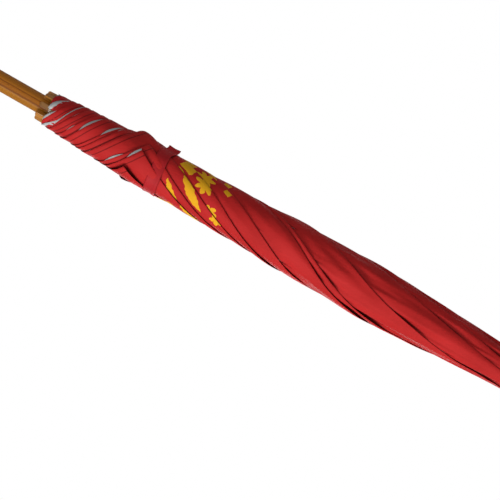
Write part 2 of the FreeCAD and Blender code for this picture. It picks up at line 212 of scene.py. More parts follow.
class Shading:
    """A material's node tree, with short calls for the nodes that the finishes share."""

    def __init__(self, name: str) -> None:
        """Start an empty material with one Principled shader."""
        self.material = bpy.data.materials.new(name)
        self.material.use_nodes = True
        self.tree = self.material.node_tree
        self.shader = self.tree.nodes["Principled BSDF"]

    def node(self, kind: str, **settings: object) -> bpy.types.Node:
        """Add a node and set its named properties."""
        made = self.tree.nodes.new(kind)
        for key, value in settings.items():
            setattr(made, key, value)
        return made

    def link(self, source: Socket, target: Socket) -> None:
        """Join two sockets."""
        self.tree.links.new(source, target)

    def math(self, operation: str, first: object, second: object = None) -> Socket:
        """A Math node on sockets or numbers; returns its output."""
        made = self.node("ShaderNodeMath", operation=operation)
        for place, value in enumerate((first, second)):
            if value is None:
                continue
            if isinstance(value, (int, float)):
                made.inputs[place].default_value = value
            else:
                self.link(value, made.inputs[place])
        return made.outputs[0]

    def mix(self, share: object, first: object, second: object) -> Socket:
        """A colour mix of two colours or sockets; returns its colour."""
        made = self.node("ShaderNodeMix", data_type="RGBA")
        for place, value in ((0, share), (6, first), (7, second)):
            if isinstance(value, (int, float)):
                made.inputs[place].default_value = value
            elif isinstance(value, tuple):
                made.inputs[place].default_value = (*value, 1.0)
            else:
                self.link(value, made.inputs[place])
        return made.outputs[2]

    def tint(self, colour: object, other: object, mask: Socket, share: float) -> Socket:
        """Blend a colour towards another one where a mask is, by a share at most."""
        return self.mix(self.math("MULTIPLY", mask, share), colour, other)

    def ramp(self, value: Socket, low: float, high: float) -> Socket:
        """Map a value from low..high to 0..1, clamped."""
        made = self.node("ShaderNodeMapRange", interpolation_type="SMOOTHSTEP")
        made.inputs["From Min"].default_value = low
        made.inputs["From Max"].default_value = high
        self.link(value, made.inputs["Value"])
        return made.outputs["Result"]

    def noise(self, place: Socket, scale: float, detail: float = 3.0) -> Socket:
        """Noise at a place; returns its value."""
        made = self.node("ShaderNodeTexNoise")
        made.inputs["Scale"].default_value = scale
        made.inputs["Detail"].default_value = detail
        self.link(place, made.inputs["Vector"])
        return made.outputs["Fac"]

    def object_place(self, stretch: Sequence[float] = (1.0, 1.0, 1.0)) -> Socket:
        """Object coordinates, scaled along each axis."""
        coordinates = self.node("ShaderNodeTexCoord")
        mapping = self.node("ShaderNodeMapping")
        mapping.inputs["Scale"].default_value = stretch
        self.link(coordinates.outputs["Object"], mapping.inputs["Vector"])
        return mapping.outputs["Vector"]

    def cloth_place(self, layer: str) -> tuple[Socket, Socket, Socket]:
        """The cloth's own flat coordinates in a layer: the vector, across and along, in metres."""
        uv = self.node("ShaderNodeUVMap", uv_map=layer)
        parts = self.node("ShaderNodeSeparateXYZ")
        self.link(uv.outputs["UV"], parts.inputs[0])
        return uv.outputs["UV"], parts.outputs["X"], parts.outputs["Y"]

    def bump(self, height: Socket, distance: float, strength: float = 1.0) -> None:
        """Raise the surface by a height."""
        made = self.node("ShaderNodeBump")
        made.inputs["Distance"].default_value = distance
        made.inputs["Strength"].default_value = strength
        self.link(height, made.inputs["Height"])
        self.link(made.outputs["Normal"], self.shader.inputs["Normal"])

    def set(self, **values: float) -> None:
        """Set plain values on the shader's own sockets; an underscore stands for a space."""
        for key, value in values.items():
            self.shader.inputs[key.replace("_", " ")].default_value = value


# ---------------------------------------------------------------- finishes


@dataclass(frozen=True)
class VarnishedWood:
    """Varnished wood with grain along the part.

    Args:
        name: the material's name.
        light: the pale wood between the grain lines.
        dark: the grain lines.
        roughness: roughness of the wood under the varnish.
        coat: strength of the varnish.
        grain: grain lines to the metre, across the part.
        pores: pores to the metre, across the part.
    """

    name: str
    light: Colour
    dark: Colour
    roughness: float = 0.38
    coat: float = 0.7
    grain: float = 260.0
    pores: float = 900.0

    def make(self) -> bpy.types.Material:
        """Build the material."""
        made = Shading(self.name)
        along = made.object_place((1.0, 1.0, 0.018))
        fine = made.noise(along, self.grain, detail=5.0)
        broad = made.noise(along, self.grain / 7.0, detail=2.0)
        cloud = made.noise(made.object_place((6.0, 6.0, 2.2)), scale=1.6, detail=2.0)
        lines = made.math("MULTIPLY", made.ramp(fine, 0.42, 0.68), 0.6)
        share = made.math("ADD", lines, made.math("MULTIPLY", made.ramp(broad, 0.3, 0.75), 0.45))
        share = made.math("ADD", share, made.math("MULTIPLY", made.ramp(cloud, 0.35, 0.7), 0.2))
        colour = made.mix(made.math("MINIMUM", share, 1.0), self.light, self.dark)
        pores = made.ramp(made.noise(made.object_place((1.0, 1.0, 0.09)), self.pores, detail=1.0), 0.70, 0.78)
        colour = made.tint(colour, scaled(self.dark, 0.25), pores, share=0.55)
        made.link(colour, made.shader.inputs["Base Color"])
        rough = made.math("ADD", made.math("MULTIPLY", fine, 0.10), self.roughness - 0.05)
        made.link(rough, made.shader.inputs["Roughness"])
        made.bump(fine, distance=0.00012, strength=0.5)
        made.set(Coat_Weight=self.coat, Coat_Roughness=0.13, IOR=1.5)
        return made.material


@dataclass(frozen=True)
class BandedPoleWood:
    """A varnished turned pole, with painted reflection bands: three bands of tone along it, with dark lines
    between.

    Args:
        name: the material's name.
        radius: the pole's radius.
        tones: the colour of each painted band, from -X to +X; the -X band is the lightest, as painted light
            against the lamps' shade.
        joints: where the two dark lines between the painted bands lie, as shares of the pole's radius.
        grain_and_band_edge: the colour of the grain and pores, and of the dark lines between the painted
            bands.
        line: half the width of the first dark line, as a share of the radius; the second one is wider.
        wander: how far the dark lines wander along the pole, as a share of the radius.
    """

    name: str
    radius: float
    tones: tuple[Colour, ...] = ((0.48, 0.168, 0.0150), (0.37, 0.120, 0.0070), (0.38, 0.142, 0.0090))
    joints: tuple[float, float] = (-0.19, 0.33)
    grain_and_band_edge: Colour = (0.155, 0.042, 0.008)
    line: float = 0.045
    wander: float = 0.09

    def make(self) -> bpy.types.Material:
        """Build the material."""
        made = Shading(self.name)
        place = made.object_place()
        split = made.node("ShaderNodeSeparateXYZ")
        made.link(place, split.inputs[0])
        slow = made.noise(made.object_place((0.0, 0.0, 1.0)), scale=5.0, detail=1.0)
        wander = made.math("MULTIPLY", made.math("SUBTRACT", slow, 0.5), self.wander)
        across = made.math("ADD", made.math("DIVIDE", split.outputs["X"], self.radius), wander)
        # painted reflection bands: three tones split by x across the pole's front; the lightest, at -X, is
        # painted light on its shaded side
        colour = made.mix(made.math("GREATER_THAN", across, self.joints[0]), self.tones[0], self.tones[1])
        colour = made.mix(made.math("GREATER_THAN", across, self.joints[1]), colour, self.tones[2])
        along = made.object_place((1.0, 1.0, 0.016))
        fine = made.noise(along, scale=300.0, detail=5.0)
        broad = made.noise(along, scale=46.0, detail=2.0)
        share = made.math("MULTIPLY", made.ramp(fine, 0.42, 0.70), 0.22)
        share = made.math("ADD", share, made.math("MULTIPLY", made.ramp(broad, 0.35, 0.75), 0.22))
        colour = made.mix(share, colour, self.grain_and_band_edge)
        # painted dark lines between the reflection bands
        for joint, width in zip(self.joints, (self.line, self.line * 1.6)):
            away = made.math("ABSOLUTE", made.math("SUBTRACT", across, joint))
            seam = made.math("SUBTRACT", 1.0, made.ramp(away, width * 0.4, width * 2.2))
            colour = made.tint(colour, self.grain_and_band_edge, seam, share=0.72)
        pores = made.noise(made.object_place((1.0, 1.0, 0.12)), scale=700.0, detail=1.0)
        colour = made.tint(colour, scaled(self.grain_and_band_edge, 0.4), made.ramp(pores, 0.70, 0.78), share=0.4)
        made.link(colour, made.shader.inputs["Base Color"])
        made.bump(fine, distance=0.0001, strength=0.4)
        made.set(Roughness=0.45, Coat_Weight=0.05, Coat_Roughness=0.2, Specular_IOR_Level=0.12)
        return made.material


@dataclass(frozen=True)
class Metal:
    """Plain metal with fine handling marks.

    Args:
        name: the material's name.
        colour: its colour.
        tarnish: the colour of its dull patches.
        roughness: its middle roughness.
    """

    name: str
    colour: Colour
    tarnish: Colour
    roughness: float = 0.3

    def make(self) -> bpy.types.Material:
        """Build the material."""
        made = Shading(self.name)
        place = made.object_place()
        patches = made.ramp(made.noise(place, scale=140.0, detail=4.0), 0.45, 0.75)
        scratches = made.noise(made.object_place((1.0, 1.0, 14.0)), scale=400.0, detail=2.0)
        colour = made.tint(self.colour, self.tarnish, patches, share=0.35)
        made.link(colour, made.shader.inputs["Base Color"])
        rough = made.math("ADD", made.math("MULTIPLY", patches, 0.18), self.roughness)
        made.link(rough, made.shader.inputs["Roughness"])
        made.bump(scratches, distance=0.00006, strength=0.4)
        made.set(Metallic=1.0)
        return made.material


class Side(Enum):
    """The two sides of the coated cloth."""

    OUTSIDE = "cloth_outside"
    INSIDE = "cloth_inside"


@dataclass(frozen=True)
class BorderPrint:
    """A made-up border of leaves, starry blooms and blocks, all along the gores.

    Args:
        low: where the border starts, from the gore's apex.
        high: where it ends.
        repeat: the length after which the border repeats.
        waver: how far the printed edges waver.
    """

    low: float = 0.765
    high: float = 0.945
    repeat: float = 0.128
    waver: float = 0.0065

    def leaf(
        self, made: Shading, place: Pair, centre: tuple[float, float], half: tuple[float, float], tilt: float
    ) -> Socket:
        """One inside a tilted, pointed leaf, else zero.

        Args:
            made: the material.
            place: the place along and across the border.
            centre: the leaf's centre.
            half: its half width and half length.
            tilt: its turn, in radians.

        Returns:
            The mask.
        """
        x = made.math("SUBTRACT", place[0], centre[0])
        y = made.math("SUBTRACT", place[1], centre[1])
        cosine, sine = math.cos(tilt), math.sin(tilt)
        u = made.math("ADD", made.math("MULTIPLY", x, cosine), made.math("MULTIPLY", y, sine))
        v = made.math("SUBTRACT", made.math("MULTIPLY", y, cosine), made.math("MULTIPLY", x, sine))
        v_share = made.math("DIVIDE", v, half[1])
        bow = made.math("MULTIPLY", made.math("MULTIPLY", v_share, v_share), half[0] * 0.5)
        u_share = made.math("ABSOLUTE", made.math("DIVIDE", made.math("ADD", u, bow), half[0]))
        room = made.math("SUBTRACT", 1.0, made.math("MULTIPLY", v_share, v_share))
        return made.math("LESS_THAN", u_share, room)

    def bloom(
        self, made: Shading, place: Pair, centre: tuple[float, float], size: float, points: float
    ) -> Socket:
        """One inside a starry bloom, else zero.

        Args:
            made: the material.
            place: the place along and across the border.
            centre: the bloom's centre.
            size: its outer radius.
            points: how many points it has to the half turn.

        Returns:
            The mask.
        """
        x = made.math("SUBTRACT", place[0], centre[0])
        y = made.math("SUBTRACT", place[1], centre[1])
        turn = made.math("ARCTAN2", y, x)
        reach = made.math("ABSOLUTE", made.math("SINE", made.math("MULTIPLY", turn, points)))
        limit = made.math("MULTIPLY", made.math("ADD", made.math("MULTIPLY", reach, 0.5), 0.5), size)
        squares = made.math("ADD", made.math("MULTIPLY", x, x), made.math("MULTIPLY", y, y))
        return made.math("LESS_THAN", made.math("SQRT", squares), limit)

    def block(
        self, made: Shading, place: Pair, centre: tuple[float, float], half: tuple[float, float]
    ) -> Socket:
        """One inside an upright block, else zero."""
        x = made.math("ABSOLUTE", made.math("SUBTRACT", place[0], centre[0]))
        y = made.math("ABSOLUTE", made.math("SUBTRACT", place[1], centre[1]))
        return made.math("MULTIPLY", made.math("LESS_THAN", x, half[0]), made.math("LESS_THAN", y, half[1]))

    def mask(self, made: Shading, vector: Socket, across: Socket, along: Socket) -> Socket:
        """Where the border is printed."""
        shift = made.math("SUBTRACT", made.noise(vector, 95.0, 1.0), 0.5)
        wobble = made.math("MULTIPLY", shift, self.waver)
        tile = made.math("FLOORED_MODULO", made.math("ADD", across, wobble), self.repeat)
        place = (tile, made.math("ADD", along, wobble))
        middle = (self.low + self.high) / 2.0
        shapes = [
            self.leaf(made, place, (0.026, middle + 0.026), (0.0110, 0.050), 0.42),
            self.block(made, place, (0.068, middle + 0.036), (0.0140, 0.0150)),
            self.bloom(made, place, (0.066, middle - 0.010), 0.022, 3.5),
            self.leaf(made, place, (0.104, middle + 0.010), (0.0095, 0.042), 0.30),
            self.block(made, place, (0.016, middle - 0.050), (0.0065, 0.0065)),
            self.block(made, place, (0.042, middle - 0.054), (0.0065, 0.0065)),
            self.bloom(made, place, (0.092, middle - 0.058), 0.015, 2.5),
        ]
        total = shapes[0]
        for shape in shapes[1:]:
            total = made.math("MAXIMUM", total, shape)
        return total


@dataclass(frozen=True)
class CoatedCloth:
    """Woven cloth, dyed and printed outside and coated silver inside.

    Args:
        hem_length: length of the gore along its middle, before the hem's dip.
        half_width: half a gore's width over its length.
        hem_dip: how much shorter the gore is at its middle, as a share of its length.
        red: the dyed outside.
        deep: the outside where it is worn dull; darkened further, also the painted shade in creases.
        yellow: the print.
        silver: the coated inside.
        seam: distance of the hem's stitching from its edge.
        stitch: half the width of the stitching.
        pucker: distance from the stitching at which its mark ends.
        thread: spacing of the threads.
        crease: how far from a crease the painted crease shade reaches.
        border: the print.
    """

    hem_length: float
    half_width: float
    hem_dip: float
    red: Colour = (0.50, 0.0185, 0.0180)
    deep: Colour = (0.36, 0.0120, 0.0115)
    yellow: Colour = (0.80, 0.40, 0.012)
    silver: Colour = (0.42, 0.43, 0.43)
    seam: float = 0.0105
    stitch: float = 0.0004
    pucker: float = 0.0016
    thread: float = 0.0011
    crease: float = 0.016
    border: BorderPrint = BorderPrint()

    def weave(self, made: Shading, across: Socket, along: Socket) -> Socket:
        """A plain weave's height, from the two thread directions."""
        turns = 2.0 * math.pi / self.thread
        warp = made.math("SINE", made.math("MULTIPLY", across, turns))
        weft = made.math("SINE", made.math("MULTIPLY", along, turns))
        return made.math("MULTIPLY", warp, weft)

    def hem_distance(self, made: Shading, across: Socket, along: Socket) -> Socket:
        """Distance from the hem's edge, up the gore."""
        reach = made.math("MULTIPLY", along, self.half_width)
        share = made.math("DIVIDE", made.math("ABSOLUTE", across), reach)
        inner = made.math("SUBTRACT", 1.0, made.math("MINIMUM", share, 1.0))
        dip = made.math("MULTIPLY", inner, self.hem_dip * self.hem_length)
        edge = made.math("SUBTRACT", self.hem_length, dip)
        return made.math("SUBTRACT", edge, along)

    def stitching(self, made: Shading, across: Socket, along: Socket) -> Socket:
        """One on the hem's line of stitches, falling to zero beside it."""
        away = made.math("ABSOLUTE", made.math("SUBTRACT", self.hem_distance(made, across, along), self.seam))
        return made.math("SUBTRACT", 1.0, made.ramp(away, self.stitch, self.pucker))

    def outside(self) -> bpy.types.Material:
        """The red printed side, with painted shade in its creases."""
        made = Shading(Side.OUTSIDE.value)
        vector, across, along = made.cloth_place("flat")
        printed, print_across, print_along = made.cloth_place("print")
        cloud = made.ramp(made.noise(vector, scale=9.0, detail=3.0), 0.35, 0.7)
        fine = made.noise(vector, scale=700.0, detail=2.0)
        colour = made.tint(self.red, self.deep, cloud, share=0.5)
        colour = made.tint(colour, self.deep, made.ramp(fine, 0.55, 0.8), share=0.25)
        ink = self.border.mask(made, printed, print_across, print_along)
        worn = made.math("SUBTRACT", 1.0, made.math("MULTIPLY", made.ramp(fine, 0.6, 0.8), 0.3))
        colour = made.mix(made.math("MULTIPLY", ink, worn), colour, self.yellow)
        stitches = self.stitching(made, across, along)
        colour = made.tint(colour, scaled(self.deep, 0.25), stitches, share=0.75)
        # painted shade: the cloth is darkened towards a dark red where ambient occlusion finds creases and
        # laps
        hollow = made.node("ShaderNodeAmbientOcclusion")
        hollow.inputs["Distance"].default_value = self.crease
        shade = made.ramp(hollow.outputs["AO"], 0.25, 0.95)
        colour = made.mix(shade, scaled(self.deep, 0.22), colour)
        weave = self.weave(made, across, along)
        made.link(colour, made.shader.inputs["Base Color"])
        rough = made.math("ADD", made.math("MULTIPLY", cloud, 0.08), 0.57)
        made.link(rough, made.shader.inputs["Roughness"])
        height = made.math("ADD", weave, made.math("MULTIPLY", fine, 1.2))
        height = made.math("SUBTRACT", height, made.math("MULTIPLY", stitches, 3.0))
        made.bump(height, distance=0.00010, strength=0.40)
        made.set(Specular_IOR_Level=0.10)
        return made.material

    def inside(self) -> bpy.types.Material:
        """The silver coated side."""
        made = Shading(Side.INSIDE.value)
        vector, across, along = made.cloth_place("flat")
        cloud = made.ramp(made.noise(vector, scale=30.0, detail=4.0), 0.3, 0.75)
        colour = made.tint(self.silver, scaled(self.silver, 0.72), cloud, share=0.5)
        made.link(colour, made.shader.inputs["Base Color"])
        made.bump(self.weave(made, across, along), distance=0.00008, strength=0.5)
        made.set(Metallic=0.15, Roughness=0.48)
        return made.material


@dataclass(frozen=True)
class PlainCloth:
    """The red cloth where it has no print and no flat coordinates.

    Args:
        name: the material's name.
        red: the dye.
        deep: the dye where it is worn dull.
    """

    name: str
    red: Colour = (0.43, 0.0115, 0.0155)
    deep: Colour = (0.30, 0.008, 0.011)

    def make(self) -> bpy.types.Material:
        """Build the material."""
        made = Shading(self.name)
        place = made.object_place()
        fine = made.noise(place, scale=900.0, detail=2.0)
        cloud = made.ramp(made.noise(place, scale=24.0, detail=3.0), 0.35, 0.7)
        colour = made.tint(self.red, self.deep, cloud, share=0.5)
        made.link(colour, made.shader.inputs["Base Color"])
        made.bump(fine, distance=0.0001, strength=0.6)
        made.set(Roughness=0.58, Specular_IOR_Level=0.16)
        return made.material


@dataclass(frozen=True)
class Plastic:
    """Moulded plastic with a fine grain.

    Args:
        name: the material's name.
        colour: its colour.
    """

    name: str
    colour: Colour

    def make(self) -> bpy.types.Material:
        """Build the material."""
        made = Shading(self.name)
        grain = made.noise(made.object_place(), scale=1800.0, detail=2.0)
        colour = made.tint(self.colour, scaled(self.colour, 0.6), grain, share=0.5)
        made.link(colour, made.shader.inputs["Base Color"])
        made.bump(grain, distance=0.00008, strength=0.6)
        made.set(Roughness=0.55)
        return made.material


@dataclass(frozen=True)
class Thread:
    """Twisted sewing thread.

    Args:
        name: the material's name.
        colour: its colour.
    """

    name: str
    colour: Colour

    def make(self) -> bpy.types.Material:
        """Build the material."""
        made = Shading(self.name)
        twist = made.noise(made.object_place((1.0, 1.0, 3.0)), scale=1500.0, detail=2.0)
        colour = made.mix(twist, self.colour, scaled(self.colour, 0.6))
        made.link(colour, made.shader.inputs["Base Color"])
        made.bump(twist, distance=0.0001, strength=0.8)
        made.set(Roughness=0.8, Sheen_Weight=0.3)
        return made.material


# ---------------------------------------------------------------- mesh helpers


def lattice(rows: int, columns: int) -> np.ndarray:
    """The quads of a grid of vertices that is numbered row by row."""
    index = np.arange(rows * columns).reshape(rows, columns)
    return np.stack([index[:-1, :-1], index[:-1, 1:], index[1:, 1:], index[1:, :-1]], axis=-1).reshape(-1, 4)


def triangles(quads: np.ndarray) -> np.ndarray:
    """Each quad as two triangles: all the first ones, then all the second ones."""
    return np.concatenate([quads[:, [0, 1, 2]], quads[:, [0, 2, 3]]])


def new_piece(
    name: str,
    places: np.ndarray,
    faces: np.ndarray,
    layers: dict[str, np.ndarray],
    materials: Finishes,
) -> bpy.types.Object:
    """A smooth mesh object from its places and faces.

    Args:
        name: the piece's name.
        places: one place to a row, in metres.
        faces: three or four vertex numbers to a row.
        layers: each UV layer's name, with one row of coordinates to a vertex.
        materials: the piece's materials, its outside first.

    Returns:
        The new object, at the origin.
    """
    mesh = bpy.data.meshes.new(name)
    mesh.from_pydata(places.tolist(), [], faces.tolist())
    loops = np.zeros(len(mesh.loops), int)
    mesh.loops.foreach_get("vertex_index", loops)
    for layer_name, values in layers.items():
        layer = mesh.uv_layers.new(name=layer_name)
        layer.data.foreach_set("uv", values[loops].astype(np.float32).ravel())
    mesh.polygons.foreach_set("use_smooth", np.ones(len(mesh.polygons), bool))
    for material in materials:
        mesh.materials.append(material)
    return add_object(name, mesh)


def print_shift(number: int) -> np.ndarray:
    """How far a gore's cut was shifted on the printed cloth."""
    return np.array([0.0313 * number, 0.012 * math.sin(2.1 * number)])


def grid_piece(
    name: str,
    places: np.ndarray,
    flat: np.ndarray,
    materials: Finishes,
    number: int = 0,
) -> bpy.types.Object:
    """A sheet from a grid of places.

    Args:
        name: the piece's name.
        places: rows by columns by 3, in metres.
        flat: rows by columns by 2, the cloth's own coordinates of each place.
        materials: the sheet's materials, its outside first.
        number: the gore's number, for its place on the print.

    Returns:
        The new object, at the origin.
    """
    rows, columns = places.shape[:2]
    cut = flat.reshape(-1, 2)
    layers = {"flat": cut, "print": cut + print_shift(number)}
    return new_piece(name, places.reshape(-1, 3), lattice(rows, columns), layers, materials)


def give_wall(obj: bpy.types.Object, thickness: float) -> None:
    """Give a sheet its thickness inwards, with the inside's material on its back."""
    select_only(obj)
    wall = obj.modifiers.new("wall", "SOLIDIFY")
    wall.thickness = thickness
    wall.offset = -1.0
    wall.material_offset = 1
    wall.material_offset_rim = 0
    bpy.ops.object.modifier_apply(modifier=wall.name)


def select_only(obj: bpy.types.Object) -> None:
    """Select one object and make it the active one."""
    bpy.ops.object.select_all(action="DESELECT")
    obj.select_set(True)
    bpy.context.view_layer.objects.active = obj


def smooth_step(x: np.ndarray) -> np.ndarray:
    """Zero below 0, one above 1, and smooth between."""
    clipped = np.clip(x, 0.0, 1.0)
    return clipped * clipped * (3.0 - 2.0 * clipped)


@dataclass(frozen=True)
class Onset:
    """A smooth rise from zero to one along a length or an angle.

    Args:
        start: where the rise starts.
        over: how far it takes; below zero, it rises the other way.
    """

    start: float
    over: float

    def at(self, place: np.ndarray) -> np.ndarray:
        """Zero before the start, one past the end, and smooth between."""
        return smooth_step((place - self.start) / self.over)


def inverse_smooth_step(y: np.ndarray) -> np.ndarray:
    """The place at which smooth_step gives y."""
    return 0.5 - np.sin(np.arcsin(1.0 - 2.0 * np.clip(y, 0.0, 1.0)) / 3.0)


def soft_noise(angle: np.ndarray, height: np.ndarray, seed: int, waves: int, reach: float) -> np.ndarray:
    """Smooth seeded noise over the bundle's skin, between about -1 and 1.

    Args:
        angle: azimuth along the twist, in radians; the noise closes round it.
        height: height in metres.
        seed: the random seed.
        waves: how many waves are added.
        reach: shortest wave along the height, in metres.

    Returns:
        The noise at each place.
    """
    draw = np.random.default_rng(seed)
    total = np.zeros(np.broadcast(angle, height).shape)
    for _ in range(waves):
        turns = draw.integers(0, 9)
        rate = 2.0 * math.pi / (reach * draw.uniform(1.0, 5.0))
        total += np.sin(turns * angle + rate * height + draw.uniform(0.0, 6.28)) * draw.uniform(0.4, 1.0)
    return total / math.sqrt(waves)


# ---------------------------------------------------------------- the furled canopy


@dataclass(frozen=True)
class GoreCut:
    """The flat cut of one gore.

    Args:
        rib_length: length of the gore along its ribs.
        half_width: half the gore's width over its length along its middle.
        hem_dip: how much shorter the gore is at its middle, as a share of its length.
    """

    rib_length: float
    half_width: float = 0.3976
    hem_dip: float = 0.04

    @property
    def length(self) -> float:
        """Length along the middle, down to the line between the hem's corners."""
        return self.rib_length / math.hypot(1.0, self.half_width)

    @property
    def width(self) -> float:
        """Width between the hem's corners."""
        return 2.0 * self.half_width * self.length

    @property
    def area(self) -> float:
        """Area of the cut, less what the hem's curve takes away."""
        return self.width * self.length / 2.0 * (1.0 - self.hem_dip)

    def place(self, m: np.ndarray, s: np.ndarray, side: float) -> np.ndarray:
        """Flat coordinates across and along the gore.

        Args:
            m: share of the way from the apex to the hem.
            s: share of the way from the rib to the middle.
            side: 1 for one half of the gore and -1 for the other.

        Returns:
            The coordinates, in metres, in a last axis of two.
        """
        along = self.length * m * (1.0 - self.hem_dip * s)
        across = (1.0 - s) * along * self.half_width * side
        return np.stack(np.broadcast_arrays(across, along), axis=-1)


@dataclass
class FurledCanopy:
    """The eight flaps of cloth, wound round the closed ribs.

    Each gore is pulled out between its two ribs, folded along its middle and wound on. Its folded edge is a
    helix, and the flaps lie over each other like tiles. 'Lap' counts the flaps' borders inwards from the
    outside. Heights called 'rise' are counted from the rib tips. 'm' runs down a gore from its top (0) to its
    hem (1), and 's' runs across it from its rib (0) to its folded edge (1).

    Args:
        measures: the part's places and sizes.
        profile: the bundle's radii.
        cut: the gores' flat cut.
        crossings: rise at which each folded edge crosses the bundle's front.
        corner_rises: how far each gore's folded corner lies above its hem at the ribs.
        corner_lifts: how far each folded corner stands off.
        mouths: how far each gore's over hem is drawn up beside its rib.
        cloth: thickness of one layer.
        top_gap: how far below the ribs' pivots the flaps begin.
        hem_rise: rise of the hem's corners at the ribs.
        gather_drop: how far below the flaps' top the gather height lies.
        twist_rate: turn of the folded edges to the metre near the rib tips, in radians.
        twist_loss: how much less they turn near the crown.
        straightening: the rise over which they come to turn less.
        edge_waver: how far a folded edge wavers, in radians.
        least_step: least azimuth from one flap's outer border to the next.
        fold_gap: distance between the two layers of a flap.
        fold_round: how far from its folded edge a flap rounds off.
        lap_drop: measure of how far a flap sinks below the next one's folded edge.
        lap_lift: how far a hem that reaches one lap too far lies over the next flap.
        crest: how far a flap swells beside the edge that lies over it.
        valley: how far the cloth can sink between two ribs.
        skin_gap: how far the outermost flap stays inside the bundle's outer radius.
        rib_gap: how far the innermost flap stays off the ribs.
        tuck: how far the hem is drawn in at the rib tips.
        broad_swell: height of the cloth's broad swells.
        small_swell: height of its small swells.
        mouth_peak: the s at which a mouth is widest.
        mouth_length: how far it takes from there to close.
        ripple: height of the over hem's ripple.
        slit: how far the under hem can show below the over hem.
        slit_start: how far it lies below it everywhere.
        slitted: the s from which slits show.
        hem_bound: the s below which the under hem comes down to the rib's tie.
        corner_m: the m from which a folded corner stands off.
        corner_s: the s from which it stands off.
        deepening: the two rises over which the grooves between the flaps deepen.
        freeing: the two rises over which the cloth comes free to sink between the ribs.
        beside_rib: how far beside a rib it sinks, in radians.
        cresting: the rise from which the flaps swell beside the edges over them.
        tucking: the rise below which the hem is drawn in.
        strap_hold: how far above and below the strap the cloth is held flat.
        loosening: the rise over which the swells grow.
        settling: the rise over which they shrink again.
        front: azimuth of the bundle's front, in radians.
        hem_curve: power of the hem's climb from the rib to the folded edge.
        least_reach: least azimuth from a folded edge back to its rib at the top, in ribs' pitches.
        crowding: power by which the columns crowd towards the folded edge.
        rows: rows along the gore.
        columns: columns across half a gore.
        twist_steps: places at which the twist is added up.
    """

    measures: Measures
    profile: BundleProfile
    cut: GoreCut
    crossings: tuple[float, ...] = (0.298, 0.351, 0.406, 0.484, 0.585, 0.612, 0.747, 0.983)
    corner_rises: tuple[float, ...] = (0.206, 0.184, 0.190, 0.212, 0.196, 0.188, 0.184, 0.200)
    corner_lifts: tuple[float, ...] = (0.0050, 0.0095, 0.0080, 0.0045, 0.0070, 0.0040, 0.0085, 0.0075)
    mouths: tuple[float, ...] = (-0.0092, 0.0030, -0.0095, 0.0010, -0.0090, -0.0040, -0.0095, 0.0040)
    cloth: float = 0.00035
    top_gap: float = 0.002
    hem_rise: float = 0.019
    gather_drop: float = 0.010
    twist_rate: float = 11.5
    twist_loss: float = 7.3
    straightening: Onset = Onset(0.50, 0.38)
    edge_waver: float = 0.05
    least_step: float = 0.05
    fold_gap: float = 0.0010
    fold_round: float = 0.0016
    lap_drop: float = 0.0025
    lap_lift: float = 0.0022
    crest: float = 0.0014
    valley: float = 0.0060
    skin_gap: float = 0.0006
    rib_gap: float = 0.0003
    tuck: float = 0.0014
    broad_swell: float = 0.0013
    small_swell: float = 0.0005
    mouth_peak: float = 0.08
    mouth_length: float = 0.25
    ripple: float = 0.0016
    slit: float = 0.0050
    slit_start: float = 0.0002
    slitted: Onset = Onset(0.25, 0.10)
    hem_bound: Onset = Onset(0.13, -0.13)
    corner_m: Onset = Onset(0.935, 0.065)
    corner_s: Onset = Onset(0.87, 0.13)
    deepening: tuple[Onset, Onset] = (Onset(0.42, 0.25), Onset(0.60, 0.15))
    freeing: tuple[Onset, Onset] = (Onset(0.30, 0.20), Onset(0.55, 0.10))
    beside_rib: Onset = Onset(0.14, 0.16)
    cresting: Onset = Onset(0.17, 0.06)
    tucking: Onset = Onset(0.065, -0.04)
    strap_hold: Onset = Onset(0.012, 0.03)
    loosening: Onset = Onset(0.38, 0.20)
    settling: Onset = Onset(0.95, 0.15)
    front: float = -0.5 * math.pi
    hem_curve: float = 1.15
    least_reach: float = 0.6
    crowding: float = 1.4
    rows: int = 220
    columns: int = 72
    twist_steps: int = 400
    twist_z: np.ndarray = field(init=False)
    twist: np.ndarray = field(init=False)

    def __post_init__(self) -> None:
        """Add up the twist from the rib tips up."""
        self.twist_z = np.linspace(self.measures.tip_z, self.top_z, self.twist_steps)
        rise = self.twist_z - self.measures.tip_z
        rate = self.twist_rate - self.twist_loss * self.straightening.at(rise)
        steps = np.diff(self.twist_z) * (rate[1:] + rate[:-1]) / 2.0
        self.twist = np.concatenate([[0.0], np.cumsum(steps)])

    @property
    def top_z(self) -> float:
        """Height where the flaps begin, under the crown cap."""
        return self.measures.crown_z - self.top_gap

    @property
    def hem_z(self) -> float:
        """Height of the hem's corners at the ribs."""
        return self.measures.tip_z + self.hem_rise

    @property
    def gather_z(self) -> float:
        """Height under the crown, the gather drop below the flaps' top."""
        return self.top_z - self.gather_drop

    def wound(self, z: np.ndarray) -> np.ndarray:
        """Twist of the folded edges at heights z, counted from the rib tips."""
        return np.interp(z, self.twist_z, self.twist)

    @property
    def first_root(self) -> int:
        """The rib place, counted from +X and on past whole turns, at which the first flap begins."""
        lead = self.wound(np.array(self.measures.tip_z + self.crossings[0]))
        top = self.front + self.twist[-1] - lead
        return math.ceil(float(top) / PITCH + self.least_reach)

    def rib_of(self, flap: int) -> int:
        """The number of the rib, and so of the gore, from which a flap's under layer starts."""
        return (self.first_root - flap) % RIBS + 1

    def reach(self, flap: int, z: np.ndarray, layer: float) -> np.ndarray:
        """Azimuth from a flap's folded edge back to its rib, for its under (0) or its over (1) layer."""
        root = (self.first_root - flap + layer) * PITCH
        return root - self.edge_azimuth(flap, z)

